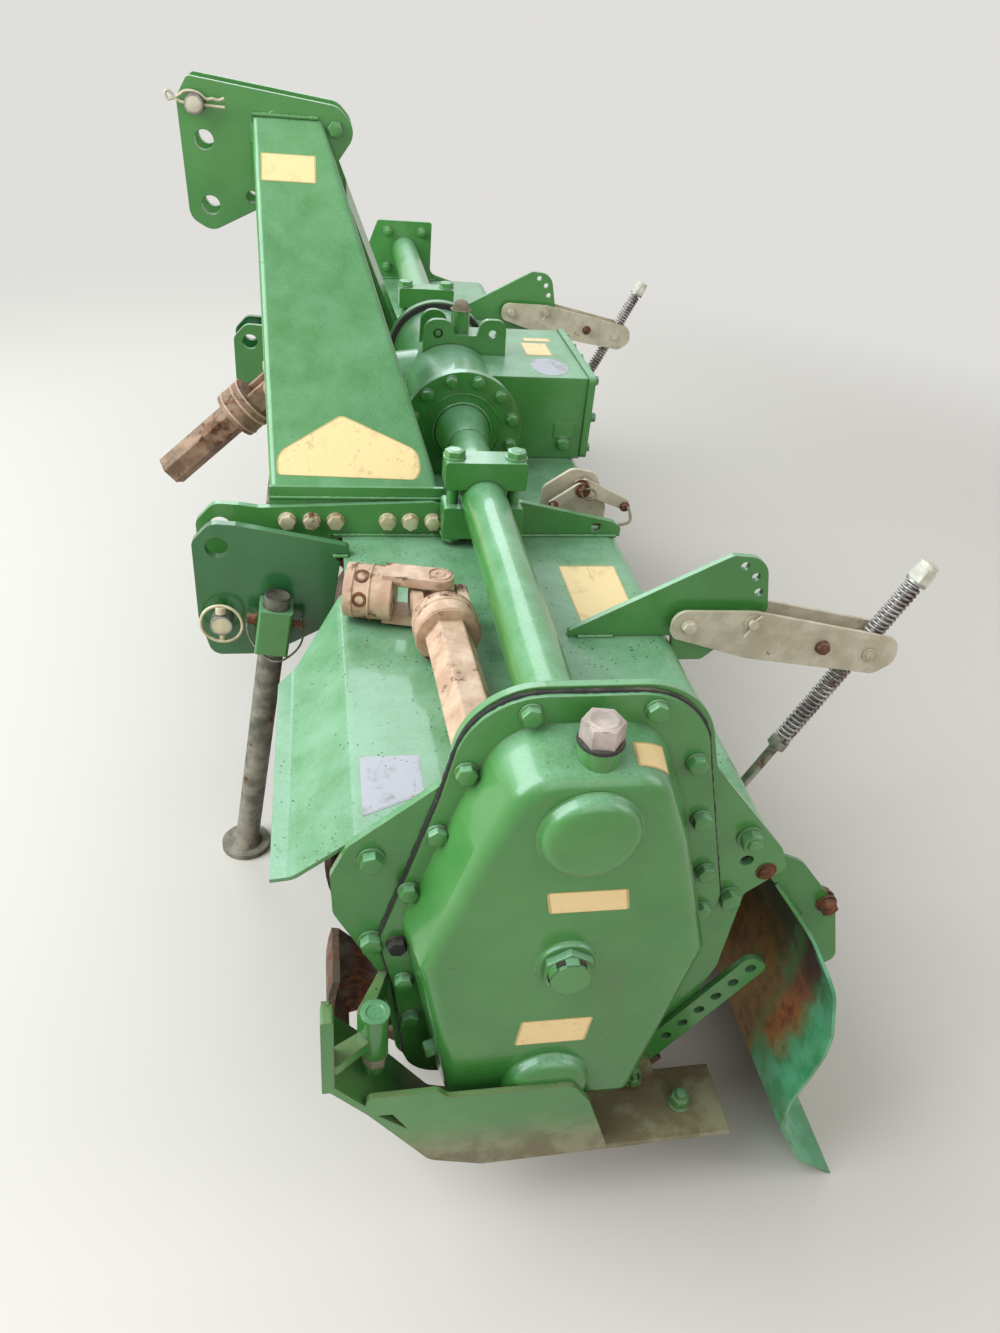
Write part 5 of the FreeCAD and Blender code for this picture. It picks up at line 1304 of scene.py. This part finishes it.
@dataclass
class StickerSet:
    """Every blank sticker of the machine."""

    upper_case: tuple = ((-29, 493, 3), (44, 493, 3), (49, 467, 3), (-24, 467, 3))
    lower_case: tuple = ((-34, 316, 3), (37, 316, 3), (33, 280, 3), (-38, 280, 3))
    shoulder: tuple = ((-17, 10), (18, 13), (17, -15), (-19, -14))
    mast_top: tuple = ((-37, 20, 1.5), (38, 20, 1.5), (38, -21, 1.5), (-37, -21, 1.5))
    mast_foot: tuple = ((-93, -38, 6), (-93, -8, 24), (-7, 47, 14), (97, -2, 24), (99, -30, 16),
                        (92, -43, 10))
    box_front: tuple = ((-182, -76, 1.5), (-134, -76, 1.5), (-134, -58, 1.5), (-182, -58, 1.5))
    box_side: tuple = ((-170, -48, 1.5), (-126, -48, 1.5), (-126, 18, 1.5), (-170, 18, 1.5))
    deck_large: tuple = ((-176, 492, 3), (-98, 492, 3), (-98, 646, 3), (-172, 646, 3))
    deck_small: tuple = ((-176, 770, 2), (-146, 770, 2), (-146, 832, 2), (-176, 832, 2))
    plate: tuple = ((122, 877, 1.5), (181, 877, 1.5), (181, 962, 1.5), (122, 934, 1.5))
    oval_sides: int = 32

    def build(self) -> None:
        """Lays all of them."""
        mast = MastTrim()
        face = grip(0, AT.case_face, 0, LEFT, -FORWARD)
        box_top = grip(0, 0, AT.box_top, UP, FORWARD)
        deck = grip(0, 0, AT.deck_z, UP, FORWARD)
        cream = Stickers("cream_stickers", CREAM, LABEL_EDGE)
        for hold, outline in ((face, self.upper_case), (face, self.lower_case),
                              (mast.leg_grip(250, 460), self.mast_top),
                              (mast.leg_grip(178, 60), self.mast_foot), (box_top, self.box_front),
                              (box_top, self.box_side), (deck, self.deck_small)):
            cream.add(hold, outline)
        cream.add(deck, self.deck_large, 3.0)
        cream.drape(grip(-52, 1036, 616, Vector((-0.45, 0.35, 0.82)), -FORWARD), self.shoulder,
                    node_surface("gear_case"))
        cream.close()

        white = Stickers("white_stickers", WHITE, WHITE)
        spots = (round_point(1, step / self.oval_sides) for step in range(self.oval_sides))
        white.add(box_top, [(-153 + 30 * x, 76 + 42 * y) for x, y in spots], 1.0)
        white.add(deck, self.plate)
        white.close()


@dataclass
class Studio:
    """A pale floor, soft lamps and the camera where the photograph was taken; metres but for the camera."""

    camera_at: tuple = (212.0, 1643.0, 1133.0)
    right: tuple = (-0.9855, 0.1519, 0.0827)
    up: tuple = (-0.0189, -0.5699, 0.8217)
    back: tuple = (0.1719, 0.8078, 0.5646)
    lens: float = 27.0
    floor_colour: Colour = srgb(206, 196, 186)
    back_colour: Colour = srgb(224, 223, 219)
    fade_start: float = 1.6
    fade_end: float = 3.4
    reach: float = 14.0
    sky: tuple = (0.86, 0.93, 1.0)
    sky_strength: float = 0.42
    white: tuple = (1.0, 1.0, 1.0)
    blue: tuple = (0.84, 0.95, 1.0)

    def build(self) -> None:
        """Builds the whole stage."""
        self._camera()
        self._floor()
        self._sky()
        # Name, place, aim, size, power and colour of each lamp
        for lamp in (("key", (2.9, 0.8, 2.8), (0, 0.3, 0.3), 3.4, 240.0, self.blue),
                     ("side", (-3.2, 1.8, 2.2), (0, 0.2, 0.3), 2.0, 30.0, self.white),
                     ("back", (0.5, -3.4, 3.2), (0, 0, 0.4), 2.8, 95.0, self.blue),
                     ("front", (-0.6, 3.8, 2.2), (0, 0.4, 0.3), 2.6, 26.0, self.white)):
            self._lamp(*lamp)
        bpy.context.scene.view_settings.view_transform = "Standard"

    def _camera(self) -> None:
        """Places the camera."""
        data = bpy.data.cameras.new("camera")
        data.lens = self.lens
        data.sensor_width = 36.0
        data.clip_start = 0.05
        data.clip_end = 100.0
        camera = placed("camera", data)
        turned = Matrix((self.right, self.up, self.back)).transposed().to_4x4()
        camera.matrix_world = Matrix.Translation(INTO_FRAME @ Vector(self.camera_at)) @ turned
        bpy.context.scene.camera = camera

    def _floor(self) -> None:
        """Lays a round floor that turns into the backdrop's colour with distance."""
        graph = Graph("floor_plain")
        shade = graph.node("ShaderNodeBsdfPrincipled", {},
                           {"Base Color": self.floor_colour, "Roughness": 0.95})
        glow = graph.node("ShaderNodeEmission", {}, {"Color": self.back_colour, "Strength": 1.0})
        away = graph.node("ShaderNodeVectorMath", {"operation": "LENGTH"}, {0: graph.place}, "Value")
        far = away.above(self.fade_start, self.fade_end) * graph.seen()
        both = graph.node("ShaderNodeMixShader", {}, {0: far, 1: shade, 2: glow})
        graph.node("ShaderNodeOutputMaterial", {}, {"Surface": both})
        bm = bmesh.new()
        bmesh.ops.create_circle(bm, cap_ends=True, segments=96, radius=self.reach)
        mesh = bpy.data.meshes.new("floor")
        bm.to_mesh(mesh)
        bm.free()
        mesh.materials.append(graph.holder)
        floor = placed("floor", mesh)
        floor.location = (0, 0, -0.0005)

    def _sky(self) -> None:
        """A cool sky for the light, and the backdrop's plain colour for the eye."""
        bpy.context.scene.world = bpy.data.worlds.new("sky")
        graph = Graph("sky", bpy.context.scene.world)
        light = graph.node("ShaderNodeBackground", {}, {"Color": self.sky, "Strength": self.sky_strength})
        plain = graph.node("ShaderNodeBackground", {}, {"Color": self.back_colour, "Strength": 1.0})
        both = graph.node("ShaderNodeMixShader", {}, {0: graph.seen(), 1: light, 2: plain})
        graph.node("ShaderNodeOutputWorld", {}, {"Surface": both})

    @staticmethod
    def _lamp(name: str, place: tuple, aim: tuple, size: float, power: float, colour: tuple) -> None:
        """Hangs a square lamp."""
        data = bpy.data.lights.new(name, "AREA")
        data.color = colour
        data.size = size
        data.energy = power
        lamp = placed(name, data)
        lamp.location = place
        lamp.rotation_euler = (Vector(aim) - Vector(place)).to_track_quat("-Z", "Y").to_euler()


def dress_nodes() -> None:
    """Gives every CAD node its own finish or that of its slot."""
    slots = {part["node"]: Slot(part["material_slot"]) for part in frame["record"]["subparts"]}
    for name, node in frame["nodes"].items():
        finish = NODE_FINISHES.get(name, SLOT_FINISHES[slots[name]])
        node.data.materials.clear()
        node.data.materials.append(material_of(finish))


def main() -> None:
    """Builds and dresses the whole machine."""
    logging.basicConfig(level=logging.INFO, format="%(message)s")
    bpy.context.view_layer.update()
    Studio().build()
    dress_nodes()
    for trim in (GearCaseTrim, SidePlateTrim, HitchTrim, GearboxTrim, MastTrim, PinTrim, SpringTrim,
                 SkidTrim, RotorTrim, ShaftTrim, HoodTrim, BoardTrim, StickerSet):
        trim().build()


if __name__ == "__main__":
    main()
